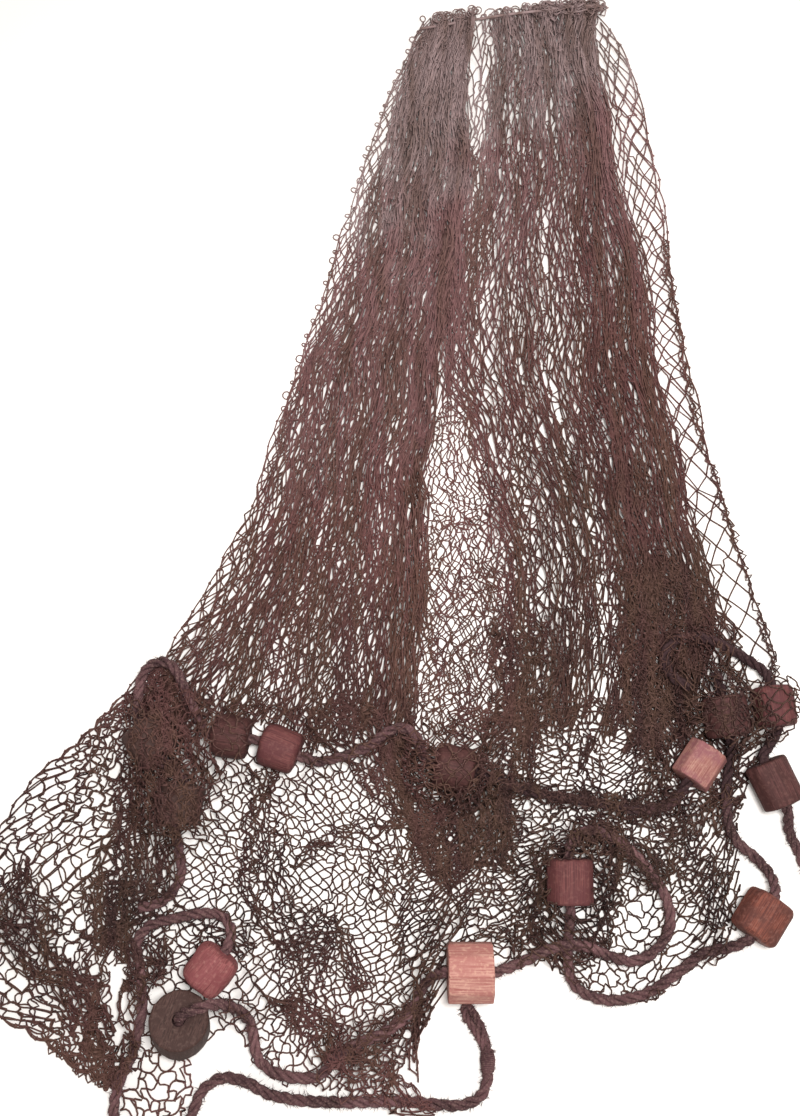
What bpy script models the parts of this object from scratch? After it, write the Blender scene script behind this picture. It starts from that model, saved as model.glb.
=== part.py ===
"""A gill net laid out on a flat surface: knotted netting gathered at one end and spread at the
other, with a float rope worked along its foot and squat wooden floats threaded on the rope.

Metres, +Z up. The tables below are a plan drawing in millimetres, with the gathered head of the
net at the top of the drawing (+Y); PLAN_CENTRE brings the middle of that drawing to the origin.
"""

import math

import bmesh
import bpy
import numpy as np
from mathutils import Matrix, Vector
from mathutils.bvhtree import BVHTree

MM = 0.001
PLAN_CENTRE = (-10.4, 51.85)

# Netting
SHEET = 3.0            # thickness of one spread layer, the size of its knots
BUNCHED_SHARE = 0.3    # how much of a fold's height is thread and not the hollow under it
COLUMNS = 36           # strips across the net, left selvedge to right selvedge
BAR_WIDTH = 5.0        # width of the bars left between two cut meshes
SEAT_MARGIN = 12.0     # the netting is pressed flat this far around a float
SEAT_SLOPE = 16.0

# Cuts across the net from the gathered head downward: where each cut meets the left selvedge,
# the middle and the right selvedge, and the rows of mesh down to the next cut.
CUT_FIELDS = ("left", "middle", "right", "rows")
CUTS = (
    ((24, 578), (118, 592), (216, 601), 2),
    ((6, 526), (124, 527), (243, 526), 3),
    ((-18, 422), (118, 423), (258, 422), 4),
    ((-51, 303), (104, 300), (269, 303), 5),
    ((-105, 158), (92, 152), (282, 158), 4),
    ((-146, 36), (82, 30), (310, 36), 4),
    ((-207, -78), (74, -88), (340, -80), 3),
    ((-258, -139), (60, -165), (350, -140), 3),
    ((-326, -204), (45, -237), (310, -215), 3),
    ((-362, -254), (25, -288), (302, -262), 3),
    ((-376, -330), (5, -338), (298, -300), 5),
)

# The foot of the net, below the last cut: place across the net from 0 to 1, and the point there.
# It runs out into the wing, a loose patch and a bunch, with a bay beside the patch.
FOOT_FIELDS = ("across", "x", "y")
FOOT = (
    (0.00, -345, -400),
    (0.06, -315, -420),
    (0.11, -280, -438),
    (0.14, -256, -455),
    (0.17, -242, -468),
    (0.195, -220, -498),
    (0.22, -193, -492),
    (0.25, -178, -468),
    (0.27, -190, -436),
    (0.285, -165, -406),
    (0.305, -138, -408),
    (0.33, -122, -436),
    (0.36, -105, -453),
    (0.41, -60, -455),
    (0.44, -40, -468),
    (0.47, -15, -480),
    (0.50, 26, -480),
    (0.53, 0, -442),
    (0.555, 20, -410),
    (0.58, 42, -372),
    (0.64, 100, -362),
    (0.69, 130, -356),
    (0.72, 142, -372),
    (0.76, 160, -388),
    (0.81, 190, -395),
    (0.86, 220, -392),
    (0.91, 252, -374),
    (0.96, 284, -346),
    (1.00, 302, -312),
)

# Folds that run down the gathered net: place across it at the head and at the foot, half
# width, and height of the ridge above the sheet at the head and at the foot.
FOLD_FIELDS = ("head", "foot", "half_width", "head_height", "foot_height")
FOLDS = (
    (0.03, 0.03, 0.035, 6, 3),
    (0.12, 0.13, 0.055, 14, 7),
    (0.21, 0.25, 0.050, 12, 6),
    (0.28, 0.39, 0.045, 15, 10),
    (0.46, 0.56, 0.050, 13, 5),
    (0.56, 0.65, 0.045, 12, 8),
    (0.67, 0.71, 0.040, 11, 6),
    (0.77, 0.79, 0.045, 15, 9),
    (0.85, 0.87, 0.045, 12, 8),
)
FOLDS_FADE = (6.3, 8.2)  # the cuts between which the folds run out

# Bunches of loose netting: middle, half sizes, turn in degrees and height of each.
BUNCH_FIELDS = ("x", "y", "half_length", "half_width", "turn", "height")
BUNCHES = (
    (-190, -92, 48, 26, 35, 12),
    (-250, -190, 60, 30, 70, 11),
    (-335, -328, 50, 38, -20, 20),
    (-272, -385, 70, 24, -28, 13),
    (-222, -285, 48, 24, 85, 9),
    (70, -240, 92, 34, -8, 15),
    (-85, -315, 58, 26, -70, 8),
    (262, -232, 36, 26, 0, 12),
    (205, -285, 70, 20, 0, 7),
    (140, -330, 24, 30, 0, 6),
    (-30, -435, 52, 36, 0, 21),
    (60, -325, 44, 22, 20, 7),
)

# Stretches where the net lies in one open layer, so that its meshes are cut through.
OPEN_FIELDS = ("x", "y", "half_length", "half_width", "turn")
OPEN_STRETCHES = (
    (246, 470, 105, 26, -72),
    (86, 478, 75, 12, 90),
    (50, 70, 118, 40, 95),
    (62, -90, 75, 48, 90),
    (310, -20, 120, 24, -70),
    (176, -100, 95, 24, 90),
    (-322, -228, 84, 40, 52),
    (-298, -420, 55, 22, -35),
    (-84, -262, 126, 52, 0),
    (-10, -330, 60, 74, 60),
    (-135, -325, 42, 44, 0),
    (200, -222, 52, 40, 0),
    (216, -330, 80, 42, 10),
    (-216, -468, 26, 40, 0),
    (-95, -400, 34, 44, 0),
)

# Floats: a turned cylinder of soft wood with a bore along it. Heading is the way its bore
# points in plan, and tilt is how far that end is raised.
BORE = 10.9
FLOAT_SIDES = 16
FLOAT_GAP = 0.3
FLOAT_FIELDS = ("x", "y", "heading", "length", "diameter", "tilt")
FLOATS = (
    (-150, -168, -8, 33, 42, 0),
    (-106, -178, -21, 35, 42, 0),
    (48, -195, -11, 36, 43, 0),
    (264, -192, 54, 34, 37, 0),
    (329, -208, -67, 40, 40, 0),
    (334, -141, -86, 36, 38, 0),
    (290, -150, -82, 36, 42, 0),
    (146, -291, -91, 38, 42, 0),
    (309, -320, -125, 38, 44, 0),
    (59, -364, 180, 38, 50, 0),
    (-160, -362, -128, 36, 44, 0),
    (-183, -405, 75, 34, 50, 66),
    (-192, -225, 80, 34, 42, 0),
    (-221, -172, 124, 34, 42, 0),
)

# Float rope, three strands laid up to 9.5 mm. It is followed in the four lengths that show
# between the places where the netting buries it. A point is (x, y, lift), with lift the height
# above the rope's lying height, and a whole number names the float that the rope passes through.
ROPE_DIAMETER = 9.5
CLEARANCE = 0.7
SAMPLE_STEP = 4.0
LONGEST_RUN = 46.0     # longest straight piece of the rope's tube
SHARPEST_TURN = 13.0   # degrees that the tube may turn between two of its points
ROPES = {
    "rope_tail": (
        (74, -447, 0), (73, -455, 0), (66, -467, 0), (50, -472, 0), (33, -471, 0), (9, -468, 0), (-33, -468, 0),
        (-74, -469, 0), (-106, -465, 0), (-128, -455, 0), (-150, -451, 0), (-166, -461, 0),
        (-175, -480, 0), (-187, -498, 0), (-208, -507, 0), (-229, -499, 0), (-239, -478, 0),
        (-236, -455, 0), (-226, -432, 0), (-221, -409, 0), (-220, -386, 0), (-223, -362, 0),
        (-227, -343, 0), (-216, -328, 0), (-196, -323, 0), (-178, -319, 0), (-161, -318, 3),
        (-150, -323, 7), (-144, -334, 12), 11,
    ),
    "rope_left": (
        (-226, -313, 0), (-212, -311, 0), (-199, -302, 0), (-191, -285, 0), (-194, -265, 2),
        13, 14, (-236, -140, 4), (-236, -120, 0), (-229, -106, 0),
        (-217, -100, 0), (-205, -105, 0), (-196, -119, 0), (-188, -138, 0), (-177, -157, 6), 1, 2,
        (-72, -189, 4), (-50, -184, 0), (-28, -176, 0), (-13, -164, 0), (2, -159, 0),
        (14, -166, 2), (19, -180, 8), 3, (86, -206, 4), (124, -217, 0),
        (170, -224, 0), (212, -231, 0), (238, -226, 3), 4,
    ),
    "rope_right": (
        (262, -123, 0), (246, -113, 0), (240, -97, 0), (249, -82, 0), (268, -77, 0),
        (290, -83, 0), (312, -94, 0), (329, -108, 6), 6, (329, -173, 12), 5, (343, -247, 3), (350, -264, 0),
        (359, -288, 0), (372, -312, 0),
    ),
    "rope_foot": (
        (285, -110, 6), 7, (295, -183, 6), (293, -197, 1), (290, -212, 0), (289, -228, 0),
        (290, -245, 0), (298, -260, 0), (312, -272, 0), (323, -285, 5), 9, (285, -345, 6),
        (263, -351, 0), (242, -364, 0), (222, -378, 0), (196, -388, 0), (170, -388, 0),
        (150, -378, 0), (144, -357, 0), (146, -332, 3), 8, (152, -256, 4), (170, -248, 0),
        (192, -257, 0), (211, -276, 0), (227, -297, 0), (234, -317, 0), (231, -336, 0),
        (217, -351, 0), (198, -358, 0), (180, -353, 2), (163, -346, 8), (146, -343, 11),
        (128, -346, 11), (108, -355, 11), 10, (28, -369, 6), (18, -381, 0), (8, -398, 0),
        (-10, -411, 0), (-36, -422, 0), (-54, -434, 0), (-68, -447, 0), (-88, -449, 0),
        (-106, -446, 0), (-119, -436, 0), (-124, -421, 0), (-126, -408, 5), (-131, -397, 17), (-140, -389, 33),
        (-151, -385, 46), (-163, -387, 52), (-174, -391, 49), 12,
    ),
}
CONCEALED_END = -3.0    # how far short of its last float's far end a rope stops

# The rope's free end is opened into a slim eye above a whipping, lying flat. A section is the
# middle of the piece and half its width there, from the whipping's foot to the eye's crown.
EYE_FIELDS = ("x", "y", "half_width")
EYE_SECTIONS = (
    (74, -442, 5.6),
    (74, -438, 7.0),
    (73, -431, 6.4),
    (70, -423, 4.8),
    (67, -415, 6.6),
    (63, -407, 8.6),
    (59, -400, 9.0),
    (56, -395, 7.0),
)
EYE_SLIT = (3, 7)       # the first and the last section that the slit of the eye reaches
EYE_LIMB = 7.4          # width of each side of the eye
EYE_THICKNESS = 8.4

NET_COLOUR = (0.075, 0.032, 0.03, 1)
ROPE_COLOUR = (0.045, 0.024, 0.022, 1)
FLOAT_COLOUR = (0.36, 0.11, 0.09, 1)


def named(fields, rows):
    return [dict(zip(fields, row)) for row in rows]


cuts = named(CUT_FIELDS, CUTS)
foot = named(FOOT_FIELDS, FOOT)
folds = named(FOLD_FIELDS, FOLDS)
bunches = named(BUNCH_FIELDS, BUNCHES)
open_stretches = named(OPEN_FIELDS, OPEN_STRETCHES)
floats = named(FLOAT_FIELDS, FLOATS)


def ease(x):
    x = min(max(x, 0.0), 1.0)
    return x * x * (3 - 2 * x)


def hump(x):
    return math.cos(0.5 * math.pi * x) ** 2 if abs(x) < 1 else 0.0


def spline(before, start, end, after, t):
    """Catmull-Rom between start and end."""
    return (
        start
        + 0.5 * t * (end - before)
        + t * t * (before - 2.5 * start + 2 * end - 0.5 * after)
        + t * t * t * (-0.5 * before + 1.5 * start - 1.5 * end + 0.5 * after)
    )


def in_oval(area, x, y):
    """Distance from the middle of a turned oval, 1 on its rim."""
    turn = math.radians(area["turn"])
    dx, dy = x - area["x"], y - area["y"]
    along = dx * math.cos(turn) + dy * math.sin(turn)
    beside = dy * math.cos(turn) - dx * math.sin(turn)
    return math.hypot(along / area["half_length"], beside / area["half_width"])


# ---------------------------------------------------------------- netting

def row_places():
    """The place of each row of mesh, counted in cuts from the head; the foot is one further."""
    places = [0.0]
    for index, cut in enumerate(cuts):
        places += [index + (step + 1) / cut["rows"] for step in range(cut["rows"])]
    return places


def edge_point(field, place):
    index = min(int(place), len(cuts) - 2)
    picks = [min(max(index + step, 0), len(cuts) - 1) for step in (-1, 0, 1, 2)]
    points = [np.array(cuts[pick][field], float) for pick in picks]
    return spline(*points, place - index)


def foot_point(across):
    stations = [item["across"] for item in foot]
    return np.array([np.interp(across, stations, [item[axis] for item in foot]) for axis in "xy"])


def net_plan(across, place):
    """Plan position of the net at a share of its width and a place down it."""
    last = len(cuts) - 1
    left, middle, right = (
        edge_point(field, min(place, last)) for field in ("left", "middle", "right")
    )
    point = (
        left * (2 * across - 1) * (across - 1)
        + middle * 4 * across * (1 - across)
        + right * across * (2 * across - 1)
    )
    if place > last:
        point += (foot_point(across) - point) * (place - last)
    return point


def fold_height(across, place):
    run = place / FOLDS_FADE[1]
    fade = 1 - ease((place - FOLDS_FADE[0]) / (FOLDS_FADE[1] - FOLDS_FADE[0]))
    height = 0.0
    for fold in folds:
        middle = fold["head"] + (fold["foot"] - fold["head"]) * min(run, 1.0)
        tall = fold["head_height"] + (fold["foot_height"] - fold["head_height"]) * min(run, 1.0)
        height += tall * hump((across - middle) / fold["half_width"])
    return height * fade


def bunch_height(x, y):
    return sum(bunch["height"] * hump(in_oval(bunch, x, y)) for bunch in bunches)


def seat_share(x, y):
    """0 where a float presses the netting flat, 1 away from the floats."""
    share = 1.0
    for item in floats:
        reach = 0.5 * max(item["length"], item["diameter"]) + SEAT_MARGIN
        away = math.hypot(x - item["x"], y - item["y"]) - reach
        share = min(share, ease(away / SEAT_SLOPE))
    return share


def relief(across, place, x, y):
    return (fold_height(across, place) + bunch_height(x, y)) * seat_share(x, y)


def make_netting():
    places = row_places()
    rows = len(places) - 1
    mesh = bmesh.new()
    bmesh.ops.create_grid(mesh, x_segments=COLUMNS, y_segments=rows, size=1.0)
    height = mesh.verts.layers.float.new("height")
    cell = {}
    for vert in mesh.verts:
        column = round((vert.co.x + 1) / 2 * COLUMNS)
        row = round((1 - vert.co.y) / 2 * rows)
        cell[column, row] = vert
    for (column, row), vert in cell.items():
        across, place = column / COLUMNS, places[row]
        x, y = net_plan(across, place)
        vert.co = Vector((x, y, 0))
        vert[height] = relief(across, place, x, y)
    cut_meshes(mesh, cell)
    bmesh.ops.triangulate(mesh, faces=mesh.faces[:])
    thicken(mesh, height)
    return mesh


def cut_meshes(mesh, cell):
    """Cuts one diamond around every second knot of the open stretches."""
    open_knots = set()
    for (column, row), vert in cell.items():
        inside = any(in_oval(area, vert.co.x, vert.co.y) < 1 for area in open_stretches)
        ring = [(column + 1, row), (column - 1, row), (column, row + 1), (column, row - 1)]
        if (column + row) % 2 and inside and all(place in cell for place in ring):
            open_knots.add((column, row))
    corners = {
        cell[place]
        for column, row in open_knots
        for place in ((column + 1, row), (column - 1, row), (column, row + 1), (column, row - 1))
    }
    bmesh.ops.connect_verts(mesh, verts=list(corners))
    knots = [cell[place] for place in open_knots]
    whole = [knot for knot in knots if all(len(face.verts) == 3 for face in knot.link_faces)]
    bmesh.ops.dissolve_verts(mesh, verts=whole)
    holes = [
        face for face in mesh.faces
        if len(face.verts) == 4 and all(vert in corners for vert in face.verts)
    ]
    bmesh.ops.inset_individual(mesh, faces=holes, thickness=BAR_WIDTH / 2, use_even_offset=True)
    bmesh.ops.delete(mesh, geom=holes, context="FACES")


def thicken(mesh, height):
    """Makes the sheet a closed solid: flat on the floor, hollow under its folds."""
    upper = bmesh.ops.extrude_face_region(mesh, geom=mesh.faces[:])["geom"]
    upper = {item for item in upper if isinstance(item, bmesh.types.BMVert)}
    for vert in mesh.verts:
        if vert in upper:
            vert.co.z = SHEET + vert[height]
        else:
            vert.co.z = vert[height] * (1 - BUNCHED_SHARE)
    bmesh.ops.recalc_face_normals(mesh, faces=mesh.faces[:])


# ---------------------------------------------------------------- floats

def float_frame(item):
    """Middle of a float and the way its bore points, in millimetres."""
    heading, tilt = math.radians(item["heading"]), math.radians(item["tilt"])
    axis = Vector((
        math.cos(tilt) * math.cos(heading),
        math.cos(tilt) * math.sin(heading),
        math.sin(tilt),
    ))
    rise = 0.5 * (item["length"] * math.sin(tilt) + item["diameter"] * math.cos(tilt))
    return Vector((item["x"], item["y"], SHEET + FLOAT_GAP + rise)), axis


def make_float(item, name, material, collection):
    outer, inner, half = item["diameter"] / 2, BORE / 2, item["length"] / 2
    profile = [(inner, half), (outer, half), (outer, -half), (inner, -half)]
    mesh = bmesh.new()
    verts = [mesh.verts.new((radius * MM, 0, along * MM)) for radius, along in profile]
    for index, vert in enumerate(verts):
        mesh.edges.new((vert, verts[(index + 1) % len(verts)]))
    obj = add_object(name, mesh, material, collection)
    turn = obj.modifiers.new("turned", "SCREW")
    turn.steps = turn.render_steps = FLOAT_SIDES
    turn.use_merge_vertices = True
    turn.merge_threshold = 0.00001
    turn.use_smooth_shade = False
    centre, axis = float_frame(item)
    side = Vector((0, 0, 1)).cross(axis).normalized()
    place = Matrix((side, axis.cross(side), axis)).transposed().to_4x4()
    place.translation = to_frame(centre)
    obj.matrix_world = place
    return obj


# ---------------------------------------------------------------- rope

def rope_stretches(name):
    """The rope's own points, split at the floats, each stretch with the point before and after it."""
    stretches, points, before = [], [], None
    route = ROPES[name]
    for index, item in enumerate(route):
        if not isinstance(item, int):
            points.append(Vector(item))
            continue
        settings = floats[item - 1]
        centre, axis = float_frame(settings)
        coming = points[-1] if points else before
        if (centre - coming).dot(axis) < 0:
            axis = -axis
        reach = settings["length"] / 2 + 2
        entry, leave = centre - axis * reach, centre + axis * reach
        stretches.append((before, points + [entry], centre))
        if index == len(route) - 1:
            reach += CONCEALED_END - 2
            stretches.append((None, [entry, centre + axis * reach], None))
        before, points = centre, [leave]
    if points and len(points) > 1:
        stretches.append((before, points, None))
    return stretches


def lying_height(net, x, y):
    """Height of the rope's middle where it lies on the netting or on the floor."""
    tallest = 0.0
    for dx, dy in ((0, 0), (4, 0), (-4, 0), (0, 4), (0, -4), (3, 3), (-3, 3), (3, -3), (-3, -3)):
        hit = net.ray_cast(Vector((x + dx, y + dy, 200)), Vector((0, 0, -1)))[0]
        tallest = max(tallest, hit.z if hit else 0.0)
    return tallest + ROPE_DIAMETER / 2 + CLEARANCE


def rope_line(name, net):
    """A dense line along the rope, with its height settled on what it lies on."""
    line = []
    for before, points, after in rope_stretches(name):
        straight = len(points) == 2 and before is None and after is None
        for index in range(len(points)):
            point = points[index]
            free = not (index == 0 and before is not None) and not (
                index == len(points) - 1 and after is not None
            )
            if free and not straight:
                point.z += lying_height(net, point.x, point.y)
        first = before or points[0] * 2 - points[1]
        last = after or points[-1] * 2 - points[-2]
        knots = [first] + points + [last]
        for index in range(1, len(knots) - 2):
            span = knots[index + 1] - knots[index]
            steps = 1 if straight else max(2, round(span.length / SAMPLE_STEP))
            for step in range(steps):
                t = step / steps
                line.append((spline(*knots[index - 1:index + 3], t), straight))
        line.append((points[-1].copy(), straight))
    return line


def settle(line, net):
    """Raises the line where the netting under it is taller, in a long low rise."""
    need = [lying_height(net, point.x, point.y) for point, _ in line]
    spread = 4
    tall = [max(need[max(i - spread, 0):i + spread + 1]) for i in range(len(need))]
    soft = [
        float(np.mean(tall[max(i - spread, 0):i + spread + 1])) for i in range(len(tall))
    ]
    return [Vector((p.x, p.y, max(p.z, soft[i]))) for i, (p, _) in enumerate(line)]


def thin(points):
    """Keeps the points where the rope has turned or run far enough."""
    kept = [points[0]]
    for index in range(1, len(points) - 1):
        run = points[index] - kept[-1]
        ahead = points[index + 1] - points[index]
        if run.length < 3 or ahead.length < 1e-6:
            continue
        turned = math.degrees(run.angle(ahead)) if ahead.length else 0
        if turned > SHARPEST_TURN or run.length > LONGEST_RUN - SAMPLE_STEP:
            kept.append(points[index])
    return kept + [points[-1]]


def make_rope(name, net, material, collection):
    points = thin(settle(rope_line(name, net), net))
    return add_tube(name, points, ROPE_DIAMETER, False, material, collection)


def add_tube(name, points, diameter, cyclic, material, collection):
    curve = bpy.data.curves.new(name, "CURVE")
    curve.dimensions = "3D"
    curve.bevel_depth = diameter / 2 * MM
    curve.bevel_resolution = 2
    curve.use_fill_caps = not cyclic
    line = curve.splines.new("POLY")
    line.points.add(len(points) - 1)
    line.use_cyclic_u = cyclic
    for slot, point in zip(line.points, points):
        slot.co = (*to_frame(point), 1)
    curve.materials.append(material)
    obj = bpy.data.objects.new(name, curve)
    collection.objects.link(obj)
    return obj


def make_eye(material, collection):
    """A flat slim loop with rounded edges, drawn as an outline and its slit."""
    sections = named(EYE_FIELDS, EYE_SECTIONS)
    middles = [Vector((item["x"], item["y"], 0)) for item in sections]
    edge = 0.98 * EYE_LIMB / 2
    first, last = EYE_SLIT
    left, right, slit_left, slit_right = [], [], [], []
    for index, item in enumerate(sections):
        ahead = middles[min(index + 1, len(middles) - 1)] - middles[max(index - 1, 0)]
        side = Vector((-ahead.y, ahead.x, 0)).normalized()
        half = max(item["half_width"] - edge, 0.4)
        left.append(middles[index] + side * half)
        right.append(middles[index] - side * half)
        if first < index < last:
            half = item["half_width"] - EYE_LIMB / 2
            slit_left.append(middles[index] + side * (half - 0.6))
            slit_right.append(middles[index] - side * (half - 0.6))
    curve = bpy.data.curves.new("rope_eye", "CURVE")
    curve.dimensions = "2D"
    curve.fill_mode = "BOTH"
    curve.extrude = (EYE_THICKNESS / 2 - edge) * MM
    curve.bevel_depth = edge * MM
    curve.bevel_resolution = 2
    for outline in (left + right[::-1], slit_left + slit_right[::-1]):
        line = curve.splines.new("POLY")
        line.points.add(len(outline) - 1)
        line.use_cyclic_u = True
        for slot, point in zip(line.points, outline):
            slot.co = (*to_frame(point), 1)
    curve.materials.append(material)
    obj = bpy.data.objects.new("rope_eye", curve)
    obj.location.z = (EYE_THICKNESS / 2 + CLEARANCE) * MM
    collection.objects.link(obj)
    return obj


# ---------------------------------------------------------------- assembly

def to_frame(point):
    """From the plan drawing to the object's own frame, in metres."""
    return Vector((point[0] - PLAN_CENTRE[0], point[1] - PLAN_CENTRE[1], point[2])) * MM


def make_material(name, colour, roughness):
    material = bpy.data.materials.new(name)
    material.use_nodes = True
    shader = material.node_tree.nodes["Principled BSDF"]
    shader.inputs["Base Color"].default_value = colour
    shader.inputs["Roughness"].default_value = roughness
    return material


def add_object(name, mesh, material, collection):
    data = bpy.data.meshes.new(name)
    mesh.to_mesh(data)
    mesh.free()
    data.materials.append(material)
    obj = bpy.data.objects.new(name, data)
    collection.objects.link(obj)
    return obj


def main():
    for obj in list(bpy.data.objects):
        bpy.data.objects.remove(obj)
    collection = bpy.data.collections.new("gill_net")
    bpy.context.scene.collection.children.link(collection)

    twine = make_material("tarred_twine", NET_COLOUR, 0.85)
    rope = make_material("laid_rope", ROPE_COLOUR, 0.9)
    wood = make_material("stained_wood", FLOAT_COLOUR, 0.7)

    netting = make_netting()
    net = BVHTree.FromBMesh(netting)
    for vert in netting.verts:
        vert.co = to_frame(vert.co)
    add_object("netting", netting, twine, collection)
    for number, item in enumerate(floats, 1):
        make_float(item, f"float_{number:02d}", wood, collection)
    for name in ROPES:
        make_rope(name, net, rope, collection)
    make_eye(rope, collection)


main()
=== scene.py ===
import math

import bpy
import numpy as np
from mathutils import Matrix, Vector, noise
from mathutils.bvhtree import BVHTree


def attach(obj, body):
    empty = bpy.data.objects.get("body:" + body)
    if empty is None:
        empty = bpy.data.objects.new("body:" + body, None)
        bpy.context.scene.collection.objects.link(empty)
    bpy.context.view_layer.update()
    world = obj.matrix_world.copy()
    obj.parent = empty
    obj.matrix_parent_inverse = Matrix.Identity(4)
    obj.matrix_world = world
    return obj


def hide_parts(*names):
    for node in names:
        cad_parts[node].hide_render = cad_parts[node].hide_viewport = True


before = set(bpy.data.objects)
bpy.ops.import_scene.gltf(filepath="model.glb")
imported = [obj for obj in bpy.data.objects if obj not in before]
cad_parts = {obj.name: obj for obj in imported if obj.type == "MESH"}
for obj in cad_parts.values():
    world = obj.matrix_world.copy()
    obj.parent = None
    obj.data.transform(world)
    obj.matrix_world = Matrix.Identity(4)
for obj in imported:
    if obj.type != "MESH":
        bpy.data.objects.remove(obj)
bpy.ops.object.select_all(action="DESELECT")
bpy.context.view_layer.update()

# All tables below are a plan in millimetres; planCentre is the frame's origin on that plan.
mm = 0.001
planCentre = Vector((-10.4, 51.85, 0))


def toFrame(point):
    return (Vector(point) - planCentre) * mm


def toScene(points):
    return (np.asarray(points) - np.array(planCentre)) * mm


def unit(vectors, least=1e-9):
    return vectors / (np.linalg.norm(vectors, axis=-1, keepdims=True) + least)


def runAlong(line):
    # the length along a line of points, at each of them
    return np.concatenate([[0], np.cumsum(np.linalg.norm(np.diff(line, axis=0), axis=1))])


def sampled(line, run, places):
    # the line's points at some places along it, run being each point's own place
    return np.stack([np.interp(places, run, values) for values in line.T], axis=-1)


def linear(hexColour):
    channels = [int(hexColour[i:i + 2], 16) / 255 for i in (1, 3, 5)]
    values = [c / 12.92 if c <= 0.04045 else ((c + 0.055) / 1.055) ** 2.4 for c in channels]
    return (*values, 1)


def addNode(tree, kind, output, inputs=None, stops=(), **settings):
    # a node with its settings, its links and a ramp's colours; what comes out goes to the next
    node = tree.nodes.new("ShaderNode" + kind)
    for name, value in settings.items():
        setattr(node, name, value)
    for name, value in (inputs or {}).items():
        if isinstance(value, bpy.types.NodeSocket):
            tree.links.new(value, node.inputs[name])
        else:
            node.inputs[name].default_value = linear(value) if isinstance(value, str) else value
    for _ in stops[2:]:
        node.color_ramp.elements.new(0.5)
    for element, (place, colour) in zip(node.color_ramp.elements if stops else (), stops):
        element.position = place
        element.color = linear(colour)
    return node.outputs[output]


def newMaterial(name, roughness):
    material = bpy.data.materials.new(name)
    material.use_nodes = True
    shader = material.node_tree.nodes["Principled BSDF"]
    shader.inputs["Roughness"].default_value = roughness
    shader.inputs["Specular IOR Level"].default_value = 0.2
    return material, material.node_tree


def finished(material, colour, normal):
    tree = material.node_tree
    shader = tree.nodes["Principled BSDF"]
    tree.links.new(colour, shader.inputs["Base Color"])
    tree.links.new(normal, shader.inputs["Normal"])
    return material


def workedIn(tree, base, colour, texture, low, high, most):
    # the base with another colour over it, where a texture lies between low and high or above
    share = addNode(tree, "MapRange", "Result", {
        "Value": texture, "From Min": low, "From Max": high, "To Max": most})
    return addNode(tree, "Mix", 2, {0: share, 6: base, 7: colour}, data_type="RGBA")


def tarredTwine():
    # Tarred cotton twine, a dull purple-brown. Painted light makes it grey-pink towards the
    # gathered head, and painted shade makes it nearly black-brown below and darker down the right
    # side; it is paler again at the very foot. Streaks a hand long follow the meshes, and fibres
    # show as paler flecks of 2 mm.
    material, tree = newMaterial("tarred_cotton_twine", 0.8)
    place = addNode(tree, "TexCoord", "Object")
    across, along = (addNode(tree, "SeparateXYZ", axis, {"Vector": place}) for axis in "XY")
    # painted light and shade: the twine is painted paler up towards the gathered head and darker
    # towards the foot
    wearAndPaintedLight = addNode(tree, "MapRange", "Result", {
        "Value": along, "From Min": -0.48, "From Max": 0.55})
    foot = addNode(tree, "MapRange", "Result", {
        "Value": along, "From Min": -0.38, "From Max": -0.50, "To Max": 0.36})
    # painted shade down the right side, stronger lower down
    right = addNode(tree, "MapRange", "Result", {
        "Value": across, "From Min": 0.04, "From Max": 0.16, "To Max": 0.6})
    paintedShadeBelow = addNode(tree, "Math", "Value", {0: 1.14, 1: wearAndPaintedLight}, operation="SUBTRACT")
    tar = addNode(tree, "Math", "Value", {0: right, 1: paintedShadeBelow}, operation="MULTIPLY")
    bareAndUnshaded = addNode(tree, "Math", "Value", {0: 1.0, 1: tar}, operation="SUBTRACT")
    # the painted light, the painted shade down the right side and the paler foot, together
    rubbedAndPaintedLight = addNode(tree, "Math", "Value", {0: wearAndPaintedLight, 1: bareAndUnshaded, 2: foot},
                     operation="MULTIPLY_ADD")
    patches = addNode(tree, "TexNoise", "Fac", {
        "Vector": place, "Scale": 13.0, "Detail": 4.0})
    spot = addNode(tree, "Math", "Value", {0: patches, 1: 0.4, 2: rubbedAndPaintedLight},
                   operation="MULTIPLY_ADD")
    shade = addNode(tree, "ValToRGB", "Color", {"Fac": spot}, (
        (0.24, "#2b1b19"), (0.42, "#432a27"), (0.62, "#64403e"), (0.90, "#805e5e"),
        (1.0, "#978281")))
    long = addNode(tree, "Mapping", "Vector", {
        "Vector": place, "Scale": (70.0, 9.0, 70.0)})
    streaks = addNode(tree, "TexNoise", "Fac", {
        "Vector": long, "Scale": 1.0, "Detail": 2.0})
    streaked = workedIn(tree, shade, "#553f31", streaks, 0.42, 0.62, 0.55)
    fibres = addNode(tree, "TexNoise", "Fac", {
        "Vector": place, "Scale": 520.0, "Detail": 2.0})
    flecked = workedIn(tree, streaked, "#94716b", fibres, 0.45, 0.75, 0.3)
    fuzz = addNode(tree, "Bump", "Normal", {
        "Height": fibres, "Strength": 0.8, "Distance": 0.0006})
    return finished(material, flecked, fuzz)


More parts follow.
